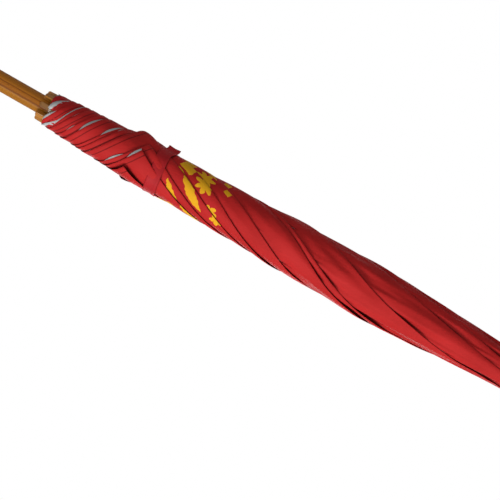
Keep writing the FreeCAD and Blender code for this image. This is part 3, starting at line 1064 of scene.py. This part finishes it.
    def edge_azimuth(self, flap: int, z: np.ndarray) -> np.ndarray:
        """Azimuth of a flap's folded edge at heights z, with its slight waver."""
        turn, place = divmod(flap, RIBS)
        crossing = self.wound(np.array(self.measures.tip_z + self.crossings[place]))
        waver = self.edge_waver * soft_noise(np.zeros_like(z), z, seed=40 + place, waves=5, reach=0.16)
        return self.front + self.wound(z) - crossing - 2.0 * math.pi * turn + waver

    def front_edge(self, flap: int, z: np.ndarray) -> np.ndarray:
        """Azimuth of a flap's outer border at heights z: its folded edge, or below that its over hem."""
        return self.edge_azimuth(flap, z) + self.hem_behind(flap, z)

    def lap_at(self, flap: int, behind: np.ndarray, z: np.ndarray) -> np.ndarray:
        """Laps inwards from a flap's outer border.

        Args:
            flap: which flap.
            behind: azimuth past the flap's own folded edge, in radians.
            z: heights.

        Returns:
            The number of borders that lie over each place, in fractions.
        """
        own = self.front_edge(flap, z)
        past = behind - self.hem_behind(flap, z)
        laps = np.zeros_like(past)
        low = own * 0.0
        for step in range(1, 2 * RIBS):
            high = np.maximum(self.front_edge(flap - step, z) - own, low + self.least_step)
            laps += np.clip((past - low) / (high - low), 0.0, 1.0)
            low = high
        return laps

    def hem_behind(self, flap: int, z: np.ndarray) -> np.ndarray:
        """Azimuth behind the folded edge at which the over layer's hem lies at heights z."""
        share = np.clip((z - self.hem_z) / self.corner_rises[flap % RIBS], 0.0, 1.0)
        return self.reach(flap, z, 1.0) * (1.0 - share ** (1.0 / self.hem_curve))

    def mouth(self, flap: int, s: np.ndarray) -> np.ndarray:
        """How far the over layer's hem is drawn up beside its rib, and bares the gore's inside."""
        closing = np.clip(1.0 - (s - self.mouth_peak) / self.mouth_length, 0.0, 1.0)
        return self.mouths[flap] * smooth_step(s / self.mouth_peak) * closing

    def hem_height(self, flap: int, s: np.ndarray, over: bool) -> np.ndarray:
        """Height of a layer's hem.

        Args:
            flap: which flap.
            s: share of the way from the rib to the folded edge.
            over: whether this is the over layer.

        Returns:
            The hem's heights.
        """
        rise = self.corner_rises[flap]
        if over:
            ripple = self.ripple * np.sin(15.0 * s + 1.3 * flap) * np.sin(math.pi * s)
            return self.hem_z + rise * s**self.hem_curve + ripple + self.mouth(flap, s)
        low = np.array(self.hem_z)
        share = float(self.reach(flap, low, 0.0) / self.reach(flap, low, 1.0))
        same = 1.0 - share * (1.0 - s)
        turns = 1.7 * s + 0.37 * flap, 4.1 * s + 0.61 * flap
        wave = np.sin(2.0 * math.pi * turns[0]) + 0.5 * np.sin(2.0 * math.pi * turns[1])
        slit = self.slit * np.clip(wave - 0.75, -0.4, 0.8) * self.slitted.at(s)
        beside = self.hem_z + rise * same**self.hem_curve - (slit + self.slit_start)
        return beside + (self.hem_z - beside) * self.hem_bound.at(s)

    def groove(self, rise: np.ndarray) -> np.ndarray:
        """How far a flap sinks below the next one's folded edge: further towards the crown."""
        first, then = self.deepening
        return self.lap_drop * (0.9 + 0.9 * first.at(rise) + 1.4 * then.at(rise))

    def seat(self, along: np.ndarray, z: np.ndarray) -> np.ndarray:
        """Radius of what the innermost flap lies on: the ribs, and the hollows between them.

        Args:
            along: azimuth.
            z: heights.

        Returns:
            The radius.
        """
        rise = z - self.measures.tip_z
        beside = np.abs((along + PITCH / 2.0) % PITCH - PITCH / 2.0)
        first, then = self.freeing
        free = 0.4 * first.at(rise) + 0.6 * then.at(rise)
        hollow = self.valley * self.beside_rib.at(beside) * free
        return self.profile.inner_r(z) + self.rib_gap - hollow

    def swell(self, along: np.ndarray, z: np.ndarray) -> np.ndarray:
        """How far the cloth swells and sinks along its twist, least under the strap.

        Args:
            along: azimuth.
            z: heights.

        Returns:
            The swell.
        """
        rise = z - self.measures.tip_z
        wave = along - self.wound(z)
        broad = soft_noise(wave, z, seed=7, waves=7, reach=0.22)
        small = soft_noise(2.0 * wave, z, seed=9, waves=6, reach=0.07)
        tied = 1.0 - self.strap_hold.at(np.abs(z - self.measures.strap_middle))
        loose = 0.5 + 0.9 * self.loosening.at(rise) - 0.5 * self.settling.at(rise)
        return (self.broad_swell * broad + self.small_swell * small) * loose * (1.0 - 0.8 * tied)

    def radius(self, flap: int, behind: np.ndarray, z: np.ndarray, root: np.ndarray) -> np.ndarray:
        """Radius of the cloth behind a folded edge.

        Args:
            flap: which flap.
            behind: azimuth past the flap's own edge.
            z: heights.
            root: azimuth past the edge at which this layer meets its rib.

        Returns:
            The radius of the flap's outer layer.
        """
        rise = z - self.measures.tip_z
        outer = self.profile.outer_r(z) - self.skin_gap - self.tuck * self.tucking.at(rise)
        along = self.edge_azimuth(flap, z) + behind
        inner = self.seat(along, z)
        drop = np.minimum(self.groove(rise), 0.85 * (outer - inner))
        under = self.lap_at(flap, behind, z)
        last = self.lap_at(flap, root, z)
        first_lap = np.clip(under, 0.0, 1.0)
        crest = self.crest * np.sin(math.pi * first_lap**0.8) * self.cresting.at(rise)
        visible = outer - drop * first_lap**1.5 + crest
        share = np.clip((under - 1.0) / np.clip(last - 1.0, 0.3, None), 0.0, 1.0)
        hidden = (outer - drop - inner) * share
        return np.maximum(visible - hidden + self.swell(along, z) * np.exp(-0.6 * under), inner)

    def layer(self, flap: int, over: bool) -> tuple[np.ndarray, np.ndarray]:
        """The places and the flat coordinates of one layer of a flap.

        Args:
            flap: which flap.
            over: whether this is the over layer.

        Returns:
            The places, and the flat coordinates.
        """
        m = np.linspace(0.0, 1.0, self.rows)[:, None]
        s = 1.0 - np.linspace(1.0, 0.0, self.columns)[None, :] ** self.crowding
        side = 1.0 if over else -1.0
        low = self.hem_height(flap, s, over)
        z = self.top_z - (self.top_z - low) * m
        root = self.reach(flap, z, 1.0 if over else 0.0)
        behind = root * (1.0 - s)
        radius = self.radius(flap, behind, z, root)
        bend = np.clip(1.0 - behind * radius / self.fold_round, 0.0, 1.0)
        half = self.fold_gap / 2.0 * (np.sqrt(1.0 - bend**2) * side - 1.0)
        corner = self.corner_m.at(m) * self.corner_s.at(s)
        ahead = np.clip((self.hem_behind(flap, z) - behind) / PITCH, 0.0, 1.3) * (1.0 - corner)
        radius = radius + half + self.corner_lifts[flap] * corner + self.lap_lift * ahead
        angle = self.edge_azimuth(flap, z) + behind
        places = np.stack([radius * np.cos(angle), radius * np.sin(angle), z], axis=-1)
        return places, self.cut.place(m, s, side)

    def flap(self, flap: int) -> tuple[np.ndarray, np.ndarray]:
        """The places and the flat coordinates of one gore's furled grid."""
        over, over_flat = self.layer(flap, True)
        under, under_flat = self.layer(flap, False)
        grid = np.concatenate([over[:, :-1], under[:, ::-1]], axis=1)
        return grid, np.concatenate([over_flat[:, :-1], under_flat[:, ::-1]], axis=1)

    def build(self, materials: Finishes, panels: Sequence[bpy.types.Object]) -> None:
        """Args:
            materials: the cloth's outside and inside.
            panels: the same gores as they stand when the ribs are open; not used.
        """
        for flap in range(RIBS):
            number = self.rib_of(flap)
            grid, flat = self.flap(flap)
            obj = grid_piece(f"furled_gore_{number}", grid, flat, materials, number)
            give_wall(obj, self.cloth)
            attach(obj, "pole")
            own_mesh(obj)
            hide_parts(f"gore_{number}")
            LOG.info("%s: %d places", obj.name, len(obj.data.vertices))


# ---------------------------------------------------------------- the open canopy


@dataclass
class OpenCanopy:
    """The eight gores as they stand between the open ribs.

    With the ribs closed, each panel lies folded into its own rib. Its open shape runs from that rib across to
    the next one.

    Args:
        measures: the part's places and sizes.
        cut: the gores' flat cut.
        cloth: thickness of the cloth.
        sag: how far the middle hangs below the line between the ribs.
        first: distance of the panel's upper end from the rib's pivot.
        clearance: distance of the cloth above the rib.
        blend_width: width over which the swing is shared out, with the ribs closed.
        blend_below: how far below the pivots the place lies from which the swing is shared out; not used.
        facing: least outward part of the normal of a face on the rib's outer side.
        powers: degree of the line fitted to that side.
        rows: rows along the rib.
        columns: columns from rib to rib.
    """

    measures: Measures
    cut: GoreCut
    cloth: float = 0.0006
    sag: float = 0.012
    first: float = 0.008
    clearance: float = 0.0023
    blend_width: float = 0.002
    blend_below: float = 0.5
    facing: float = 0.9
    powers: int = 7
    rows: int = 64
    columns: int = 33
    rib_line: np.ndarray = field(init=False)

    def __post_init__(self) -> None:
        """Fit a smooth line to the closed rib's outer side: its distance from the axis, below the pivot."""
        mesh = frame["nodes"]["rib_1"].data
        outer = {index for face in mesh.polygons if face.normal.x > self.facing for index in face.vertices}
        points = node_points("rib_1")[sorted(outer)]
        below = self.measures.crown_z - points[:, 2]
        self.rib_line = np.polyfit(below, points[:, 0], self.powers)
        left = points[:, 0] - np.polyval(self.rib_line, below)
        LOG.info("rib line fits %d places to %.2f mm", len(points), 1000.0 * float(np.abs(left).max()))

    def on_rib(self, distance: np.ndarray) -> tuple[np.ndarray, np.ndarray]:
        """Where the cloth lies over the open rib, by distance from its pivot: radius and height."""
        x = np.polyval(self.rib_line, distance) + self.clearance - self.measures.pivot_r
        turn = self.measures.open_angle
        out = x * math.cos(turn) + distance * math.sin(turn)
        up = x * math.sin(turn) - distance * math.cos(turn)
        return self.measures.pivot_r + out, self.measures.crown_z + up

    def open_places(self) -> tuple[np.ndarray, np.ndarray]:
        """Places of one open panel, from the rib along +X to the next, and their flat coordinates."""
        v = np.linspace(0.0, 1.0, self.rows)[:, None] ** 0.9
        u = np.linspace(0.0, 1.0, self.columns)[None, :]
        middle = 4.0 * u * (1.0 - u)
        hem = self.cut.rib_length * (1.0 - self.cut.hem_dip * middle)
        distance = self.first + (hem - self.first) * v
        out, up = self.on_rib(distance)
        x = (1.0 - u) * out + u * out * math.cos(PITCH)
        y = u * out * math.sin(PITCH)
        hang = v**2 * (1.0 - v) * 27.0 / 4.0
        z = up - self.sag * middle**2 * hang
        s = 1.0 - np.abs(2.0 * u - 1.0)
        side = np.where(u < 0.5, 1.0, -1.0)
        return np.stack([x, y, z], axis=-1), self.cut.place(distance / hem, s, side)

    def close(self, points: np.ndarray) -> np.ndarray:
        """Where places of the open panel lie with the ribs closed.

        Args:
            points: one place to a row.

        Returns:
            The same places with the ribs closed.
        """
        rho = np.hypot(points[:, 0], points[:, 1])
        angle = np.arctan2(points[:, 1], points[:, 0])
        offset = np.zeros_like(rho)
        for _ in range(6):
            share = np.clip((angle - np.arcsin(offset / rho)) / PITCH, 0.0, 1.0)
            offset = self.blend_width * inverse_smooth_step(share)
        out = np.sqrt(rho**2 - offset**2) - self.measures.pivot_r
        up = points[:, 2] - self.measures.crown_z
        turn = self.measures.open_angle
        x = out * math.cos(turn) + up * math.sin(turn) + self.measures.pivot_r
        z = up * math.cos(turn) - out * math.sin(turn) + self.measures.crown_z
        return np.stack([x, offset, z], axis=-1)

    def build(self, materials: Finishes) -> list[bpy.types.Object]:
        """Make the eight panels, each between its rib and the next.

        Args:
            materials: the cloth's outside and inside.

        Returns:
            The panels, in the order of their ribs.
        """
        places, flat = self.open_places()
        across = np.gradient(places, axis=1)
        along = np.gradient(places, axis=0)
        normal = np.cross(along, across)
        normal /= np.linalg.norm(normal, axis=-1, keepdims=True)
        upward = normal * np.sign(normal[..., 2:])
        count = self.rows * self.columns
        skins = np.concatenate([places.reshape(-1, 3), (places - upward * self.cloth).reshape(-1, 3)])
        upper = triangles(lattice(self.rows, self.columns))
        faces = np.concatenate([upper, upper[:, ::-1] + count, triangles(self.rim(count))])
        inside = np.zeros(len(faces), np.int32)
        inside[len(upper) : 2 * len(upper)] = 1
        closed = self.close(skins)
        cut = np.concatenate([flat.reshape(-1, 2), flat.reshape(-1, 2)])
        made = []
        for number in range(RIBS):
            cosine, sine = math.cos(number * PITCH), math.sin(number * PITCH)
            turn = np.array([[cosine, sine, 0], [-sine, cosine, 0], [0, 0, 1]])
            layers = {"flat": cut, "print": cut + print_shift(number + 1)}
            obj = new_piece(f"open_gore_{number + 1}", closed @ turn, faces, layers, materials)
            obj.data.polygons.foreach_set("material_index", inside)
            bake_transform(obj)
            made.append(obj)
        LOG.info("open canopy: %d panels", len(made))
        return made

    def rim(self, count: int) -> np.ndarray:
        """The quads between the two skins, all round the panel."""
        index = np.arange(count).reshape(self.rows, self.columns)
        loop = np.concatenate([index[0, :-1], index[:-1, -1], index[-1, :0:-1], index[:0:-1, 0]])
        after = np.roll(loop, -1)
        return np.stack([after, loop, loop + count, after + count], axis=-1)


# ---------------------------------------------------------------- crown, strap and ties


@dataclass
class CrownCap:
    """The round cap of cloth that hides the gores' gathered tops.

    Args:
        measures: the part's places and sizes.
        eye_r: radius of its hole for the stud.
        skirt_r: radius of its lower edge.
        skirt_z: height of its lower edge below the ribs' pivots.
        above: height of its top over the hub.
        shoulder_gap: how far it stands off the hub's rim.
        shoulder_drop: how far below its top the skirt begins.
        rings: radii of two rings on its flat top.
        rounding: steps out and up from the shoulder's place at the top, down over its round.
        pleat: height of the pleats, one to a gore.
        crease: height of the small creases between them.
        wave: how far the skirt's edge rises and falls.
        cloth: its thickness.
        columns: columns round it.
    """

    measures: Measures
    eye_r: float = 0.0042
    skirt_r: float = 0.0392
    skirt_z: float = 0.052
    above: float = 0.0022
    shoulder_gap: float = 0.0012
    shoulder_drop: float = 0.008
    rings: tuple[float, float] = (0.016, 0.030)
    rounding: tuple[tuple[float, float], ...] = ((-0.002, -0.0002), (0.0, -0.0022))
    pleat: float = 0.0009
    crease: float = 0.0005
    wave: float = 0.0014
    cloth: float = 0.0006
    columns: int = 160

    def line(self, top: float) -> np.ndarray:
        """The cap's line from its eye to its skirt's edge: radius and height, one place to a row.

        Args:
            top: height of the cap's top.

        Returns:
            The line.
        """
        low = self.measures.crown_z - self.skirt_z
        shoulder = self.measures.hub_r + self.shoulder_gap
        start_r, start_z = shoulder + self.shoulder_gap, top - self.shoulder_drop
        places = [(radius, top) for radius in (self.eye_r, *self.rings)]
        places += [(shoulder + out, top + up) for out, up in self.rounding]
        places.append((start_r, start_z))
        for d in np.linspace(0.0, 1.0, 12)[1:]:
            places.append((start_r + (self.skirt_r - start_r) * d**1.3, start_z + (low - start_z) * d))
        return np.array(places)

    def build(self, materials: Finishes) -> None:
        """Turn the cap's line round the axis, with soft pleats in its skirt."""
        top = self.measures.hub_top + self.above
        profile = self.line(top)
        angle = np.linspace(0.0, 2.0 * math.pi, self.columns + 1)[None, :]
        depth = Onset(0.006, 0.05).at(top - profile[:, 1])[:, None]
        pleat = self.pleat * depth * np.sin(RIBS * angle + 0.4) + self.crease * depth * np.sin(19.0 * angle)
        radius = profile[:, :1] + pleat
        z = profile[:, 1:] + self.wave * depth * np.sin(3.0 * angle + 1.0)
        places = np.stack([radius * np.cos(angle), radius * np.sin(angle), z + 0.0 * angle], axis=-1)
        steps = np.hypot(*np.diff(profile, axis=0).T)
        reach = np.concatenate([[0.0], np.cumsum(steps)]) + self.eye_r
        flat = np.stack([reach[:, None] * np.cos(angle), reach[:, None] * np.sin(angle)], axis=-1)
        obj = grid_piece("crown_cap", places[::-1], flat[::-1], materials)
        select_only(obj)
        bpy.ops.object.mode_set(mode="EDIT")
        bpy.ops.mesh.select_all(action="SELECT")
        bpy.ops.mesh.remove_doubles(threshold=0.00002)
        bpy.ops.mesh.normals_make_consistent(inside=False)
        bpy.ops.object.mode_set(mode="OBJECT")
        give_wall(obj, self.cloth)
        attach(obj, "pole")
        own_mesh(obj)
        LOG.info("crown cap: %d places", len(obj.data.vertices))


@dataclass
class TieStrap:
    """The strap round the bundle, with its loose end standing off, and its snap fastener.

    Args:
        measures: the part's places and sizes.
        gather_z: height to which it gathers as the ribs open; not used.
        leave: azimuth at which the loose end leaves the bundle, in degrees.
        overlap: how far the strap lies over itself, in degrees.
        tail: length of the loose end.
        tail_rise: how much higher the loose end's tip lies than the strap.
        tail_lift: how far the loose end turns outwards, in degrees.
        slant: how much higher it lies on one side than in the middle.
        edge_roll: how far its edges roll in.
        ease: how far it stands off its seat.
        lap_rise: how far it stands off where it lies over itself.
        lap_slope: how far it takes to rise there, in radians.
        buckle: how far it buckles on its way round.
        cloth: its thickness.
        button_place: azimuth of the snap fastener, in degrees.
        button_r: radius of the snap fastener.
        button_seat: how far its middle lies outside the strap's seat.
        columns: places along it.
    """

    measures: Measures
    gather_z: float
    leave: float = 203.0
    overlap: float = 38.0
    tail: float = 0.0150
    tail_rise: float = 0.013
    tail_lift: float = 20.0
    slant: float = 0.0045
    edge_roll: float = 0.0005
    ease: float = 0.0005
    lap_rise: float = 0.0013
    lap_slope: float = 0.35
    buckle: float = 0.0004
    cloth: float = 0.0007
    button_place: float = 135.0
    button_r: float = 0.006
    button_seat: float = 0.0022
    columns: int = 220

    def path(self) -> tuple[np.ndarray, np.ndarray, np.ndarray]:
        """Places of the strap's middle line in plan, and the way along it."""
        round_it = math.radians(360.0 + self.overlap)
        radius = self.measures.strap_r + self.ease
        bound = radius * round_it
        way = np.linspace(0.0, bound + self.tail, self.columns)
        turned = np.clip(way / radius, 0.0, round_it)
        azimuth = math.radians(self.leave) + round_it - turned
        lap_start = round_it - math.radians(self.overlap) - self.lap_slope
        lap = Onset(lap_start, self.lap_slope).at(turned)
        seat = radius + self.lap_rise * lap + self.buckle * np.sin(5.0 * azimuth)
        past = np.clip(way - bound, 0.0, None)
        lift = math.radians(self.tail_lift) * past / self.tail
        heading = azimuth - math.pi / 2.0 + lift
        x = seat * np.cos(azimuth) + past * np.cos(heading)
        y = seat * np.sin(azimuth) + past * np.sin(heading)
        return x, y, way

    def band(self, materials: Finishes) -> bpy.types.Object:
        """The strap itself."""
        x, y, way = self.path()
        width = self.measures.strap_width
        across = np.linspace(-0.5, 0.5, 9)[None, :]
        climb = 2.6 * self.tail
        nearing = Onset(way[-1] - climb, climb).at(way)
        tilt = (self.slant * x / self.measures.strap_r + self.tail_rise * nearing)[:, None]
        z = self.measures.strap_middle + tilt + across * width * 0.98
        roll = self.edge_roll * np.cos(2.0 * math.pi * across) * np.ones_like(z)
        out = np.stack([x, y], axis=-1) / np.hypot(x, y)[:, None]
        plan = np.stack([x, y], axis=-1)[:, None, :] - out[:, None, :] * roll[..., None]
        places = np.concatenate([plan, z[..., None]], axis=-1)
        flat = np.stack([across * width + 0.0 * way[:, None], 0.3 + way[:, None] + 0.0 * across], axis=-1)
        obj = grid_piece("tie_band", places, flat, materials)
        give_wall(obj, self.cloth)
        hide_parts("tie_strap")
        return obj

    def button(self, material: bpy.types.Material) -> bpy.types.Object:
        """The snap fastener."""
        angle = math.radians(self.button_place)
        radius = self.measures.strap_r + self.button_seat
        bpy.ops.object.select_all(action="DESELECT")
        bpy.ops.mesh.primitive_uv_sphere_add(
            segments=32, ring_count=16, radius=self.button_r, location=(0, 0, 0)
        )
        obj = bpy.context.active_object
        obj.name = "snap_fastener"
        bpy.ops.transform.resize(value=(0.30, 1.0, 1.0), center_override=(0, 0, 0))
        bpy.ops.transform.translate(value=(radius, 0.0, self.measures.strap_middle))
        bpy.ops.transform.rotate(value=-angle, orient_axis="Z", center_override=(0, 0, 0))
        bpy.ops.object.transform_apply(location=True, rotation=True, scale=True)
        bpy.ops.object.shade_smooth()
        obj.data.materials.append(material)
        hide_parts("strap_button")
        return obj

    def build(self, materials: Finishes, metal: bpy.types.Material) -> None:
        """Make the strap and its fastener, and fix them to the pole."""
        for obj, slot in ((self.band(materials), "red_cloth"), (self.button(metal), "steel")):
            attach(obj, "pole")
            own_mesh(obj)
        LOG.info("tie strap and snap fastener")


@dataclass
class TipTies:
    """The white threads that tie the cloth's corners to the rib tips.

    Args:
        measures: the part's places and sizes.
        above_tip: height of the tie above the rib's tip.
        turns: turns of thread round each rib.
        thread: radius of the thread.
        ring_r: radius of a turn before it is fitted to its rib.
        near: how far above and below the tie the rib is measured.
    """

    measures: Measures
    above_tip: float = 0.0225
    turns: int = 3
    thread: float = 0.00055
    ring_r: float = 0.0065
    near: float = 0.03

    def build(self, material: bpy.types.Material) -> None:
        """Wind a few turns of thread round each rib."""
        points = node_points("rib_1")
        near = np.abs(points[:, 2] - self.measures.tip_z - self.above_tip) < self.near
        low, high = points[near].min(axis=0), points[near].max(axis=0)
        centre = (low[0] + high[0]) / 2.0
        half = ((high[0] - low[0]) / 2.0, (high[1] - low[1]) / 2.0)
        for number in range(RIBS):
            obj = self.winding(number, centre, half, material)
            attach(obj, f"rib_{number + 1}")
        LOG.info("%d thread ties", RIBS)

    def winding(
        self, number: int, centre: float, half: tuple[float, float], material: bpy.types.Material
    ) -> bpy.types.Object:
        """One rib's turns of thread, as one piece.

        Args:
            number: the rib, counted from 0.
            centre: distance of the rib's middle from the pole's axis.
            half: half the rib's width, outwards and across.
            material: the thread's material.

        Returns:
            The new piece.
        """
        bpy.ops.object.select_all(action="DESELECT")
        bpy.ops.mesh.primitive_torus_add(
            major_radius=self.ring_r,
            minor_radius=self.thread,
            major_segments=40,
            minor_segments=8,
            location=(0, 0, 0),
        )
        obj = bpy.context.active_object
        obj.name = f"tip_tie_{number + 1}"
        reach = self.thread * 0.8
        scale = ((half[0] + reach) / self.ring_r, (half[1] + reach) / self.ring_r, 1.0)
        bpy.ops.transform.resize(value=scale, center_override=(0, 0, 0))
        bpy.ops.object.transform_apply(location=False, rotation=False, scale=True)
        array = obj.modifiers.new("turns", "ARRAY")
        array.count = self.turns
        array.use_relative_offset = False
        array.use_constant_offset = True
        array.constant_offset_displace = (0.0, 0.0, self.thread * 2.1)
        bpy.ops.object.modifier_apply(modifier=array.name)
        height = self.measures.tip_z + self.above_tip
        bpy.ops.transform.translate(value=(centre, 0.0, height))
        bpy.ops.transform.rotate(value=-number * PITCH, orient_axis="Z", center_override=(0, 0, 0))
        bpy.ops.object.transform_apply(location=True, rotation=True, scale=True)
        bpy.ops.object.shade_smooth()
        obj.data.materials.append(material)
        return obj


# ---------------------------------------------------------------- the CAD nodes' finishes


# The pale wood and the grain lines of the turned parts and of the ribs, and the dark rib's share of theirs.
TURNED_LIGHT: Colour = (0.36, 0.140, 0.024)
TURNED_DARK: Colour = (0.21, 0.066, 0.010)
RIB_LIGHT: Colour = (0.50, 0.205, 0.017)
RIB_DARK: Colour = (0.30, 0.100, 0.009)
DARK_TONE = 0.52


def dress(names: Sequence[str], material: bpy.types.Material) -> None:
    """Give CAD nodes a material."""
    for name in names:
        mesh = frame["nodes"][name].data
        mesh.materials.clear()
        mesh.materials.append(material)


def dress_frame(pole_r: float) -> None:
    """Give every kept CAD node its finish.

    Args:
        pole_r: radius of the pole.
    """
    numbers = range(1, RIBS + 1)
    pole = BandedPoleWood("pole_wood", pole_r)
    turned = VarnishedWood("turned_wood", TURNED_LIGHT, TURNED_DARK, roughness=0.36, coat=0.8)
    brass = Metal("brass", (0.72, 0.46, 0.14), (0.38, 0.22, 0.07), 0.26).make()
    steel = Metal("steel", (0.56, 0.57, 0.58), (0.33, 0.33, 0.34), 0.28).make()
    dress(["lower_pole", "upper_pole"], pole.make())
    dress(["crown_hub", "runner", "finial"], turned.make())
    for number in numbers:
        tone = DARK_TONE if number == DARK_RIB else 1.0 + 0.14 * math.sin(2.7 * number)
        light, dark = scaled(RIB_LIGHT, tone), scaled(RIB_DARK, tone)
        wood = VarnishedWood(f"rib_wood_{number}", light, dark, roughness=0.42, coat=0.18, grain=330.0).make()
        dress([f"rib_{number}", f"stretcher_{number}"], wood)
    dress([f"bracket_{number}" for number in numbers] + ["crown_washer", "joint_sleeve"], brass)
    dress([f"trunnion_{number}" for number in numbers], steel)
    dress(["crown_pins", "lock_pin", "finial_stud", "joint_screw"], steel)
    dress(["foot_plug"], Plastic("plug_plastic", (0.03, 0.03, 0.03)).make())
    dress(["crown_patch"], PlainCloth("patch_cloth").make())
    LOG.info("dressed the CAD nodes")


# ---------------------------------------------------------------- the room


@dataclass(frozen=True)
class Lamp:
    """An area lamp that faces the bundle's middle.

    Args:
        name: its name.
        place: where it stands, from the bundle's middle.
        size: its width and height.
        power: its power, in watts.
    """

    name: str
    place: tuple[float, float, float]
    size: tuple[float, float]
    power: float


LAMPS = (
    Lamp("key", (2.2, -1.5, 0.1), (0.7, 2.4), 57.0),
    Lamp("front", (0.5, -3.0, 0.0), (0.5, 2.2), 18.0),
    Lamp("back", (1.3, 2.7, 0.3), (0.8, 2.2), 26.0),
    Lamp("top", (0.3, -0.5, 3.2), (1.8, 1.8), 30.0),
)


@dataclass
class Studio:
    """Camera, lamps, floor and a white background.

    Args:
        measures: the part's places and sizes.
        across: width of the picture at the pole, in metres.
        distance: the camera's distance.
        aim_above_tips: height of the picture's centre above the rib tips.
        aim_side: how far the picture's centre lies beside the pole.
        roll: how far the picture is turned, in degrees.
        fill: strength of the light from all round.
        floor_size: the floor's side.
        shadow_reach: how far from the foot the painted shadow reaches.
    """

    measures: Measures
    across: float = 0.975
    distance: float = 3.4
    aim_above_tips: float = 0.494
    aim_side: float = 0.0453
    roll: float = 119.7
    fill: float = 0.15
    floor_size: float = 14.0
    shadow_reach: float = 0.15

    @property
    def middle(self) -> Vector:
        """The place on the pole's axis at the height of the picture's centre."""
        return Vector((0.0, 0.0, self.measures.tip_z + self.aim_above_tips))

    def camera(self) -> None:
        """Place the camera level with the bundle and roll it."""
        data = bpy.data.cameras.new("camera")
        data.sensor_width = 36.0
        data.lens = data.sensor_width * self.distance / self.across
        obj = add_object("camera", data)
        place = self.middle + Vector((self.aim_side, -self.distance, 0.0))
        level = Matrix.Rotation(math.radians(90.0), 4, "X")
        roll = Matrix.Rotation(math.radians(self.roll), 4, "Z")
        obj.matrix_world = Matrix.Translation(place) @ level @ roll
        bpy.context.scene.camera = obj

    def lamp(self, lamp: Lamp) -> None:
        """Hang an area lamp that faces the bundle's middle."""
        data = bpy.data.lights.new(lamp.name, "AREA")
        data.shape = "RECTANGLE"
        data.size, data.size_y = lamp.size
        data.energy = lamp.power
        obj = add_object(lamp.name, data)
        start = self.middle + Vector(lamp.place)
        turn = (self.middle - start).to_track_quat("-Z", "Y").to_matrix().to_4x4()
        obj.matrix_world = Matrix.Translation(start) @ turn

    def background(self) -> None:
        """Plain grey light all round, and white wherever the camera sees it, straight or in a gloss."""
        world = bpy.data.worlds.new("room")
        bpy.context.scene.world = world
        world.use_nodes = True
        tree = world.node_tree
        tree.nodes.clear()
        output = tree.nodes.new("ShaderNodeOutputWorld")
        mixed = tree.nodes.new("ShaderNodeMixShader")
        for place, strength in ((1, self.fill), (2, 1.0)):
            light = tree.nodes.new("ShaderNodeBackground")
            light.inputs["Color"].default_value = (1.0, 1.0, 1.0, 1.0)
            light.inputs["Strength"].default_value = strength
            tree.links.new(light.outputs[0], mixed.inputs[place])
        path = tree.nodes.new("ShaderNodeLightPath")
        shown = path.outputs["Is Camera Ray"]
        for ray in ("Is Transmission Ray", "Is Glossy Ray"):
            either = tree.nodes.new("ShaderNodeMath")
            either.operation = "MAXIMUM"
            tree.links.new(shown, either.inputs[0])
            tree.links.new(path.outputs[ray], either.inputs[1])
            shown = either.outputs[0]
        tree.links.new(shown, mixed.inputs[0])
        tree.links.new(mixed.outputs[0], output.inputs["Surface"])

    def floor(self) -> None:
        """A pale floor at the pole's foot, white where the camera sees it, with a painted shadow at the foot.
        """
        bpy.ops.object.select_all(action="DESELECT")
        bpy.ops.mesh.primitive_plane_add(size=self.floor_size, location=(0.0, 0.0, -0.001))
        obj = bpy.context.active_object
        obj.name = "floor"
        made = Shading("floor")
        made.shader.inputs["Base Color"].default_value = (0.82, 0.82, 0.82, 1.0)
        made.set(Roughness=0.9)
        white = made.node("ShaderNodeEmission")
        # painted shadow: the floor's white glow is dimmed near the foot by ambient occlusion
        shadow = made.node("ShaderNodeAmbientOcclusion")
        shadow.inputs["Distance"].default_value = self.shadow_reach
        made.link(made.ramp(shadow.outputs["AO"], -0.4, 0.97), white.inputs["Strength"])
        mixed = made.node("ShaderNodeMixShader")
        path = made.node("ShaderNodeLightPath")
        made.link(path.outputs["Is Camera Ray"], mixed.inputs[0])
        made.link(made.shader.outputs[0], mixed.inputs[1])
        made.link(white.outputs[0], mixed.inputs[2])
        made.link(mixed.outputs[0], made.tree.nodes["Material Output"].inputs["Surface"])
        obj.data.materials.append(made.material)

    def build(self) -> None:
        """Set the picture up."""
        bpy.context.scene.view_settings.view_transform = "Standard"
        self.camera()
        for lamp in LAMPS:
            self.lamp(lamp)
        self.background()
        self.floor()
        LOG.info("set up the camera and %d lamps", len(LAMPS))


# ---------------------------------------------------------------- main


def main() -> None:
    """Build and dress the parasol."""
    logging.basicConfig(level=logging.INFO)
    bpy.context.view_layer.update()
    measures = Measures.read()
    profile = BundleProfile(measures)
    Studio(measures).build()
    dress_frame(measures.pole_r)
    cut = GoreCut(measures.crown_z - measures.tip_z - FREE_RIB)
    cloth = CoatedCloth(cut.length, cut.half_width, cut.hem_dip)
    sides = (cloth.outside(), cloth.inside())
    plain = (PlainCloth("strap_cloth").make(), sides[1])
    panels = OpenCanopy(measures, cut).build(sides)
    furled = FurledCanopy(measures, profile, cut)
    furled.build(sides, panels)
    CrownCap(measures).build(plain)
    snap = Metal("snap_steel", (0.5, 0.5, 0.5), (0.3, 0.3, 0.3)).make()
    TieStrap(measures, furled.gather_z).build(plain, snap)
    TipTies(measures).build(Thread("white_thread", (0.75, 0.73, 0.68)).make())


if __name__ == "__main__":
    main()
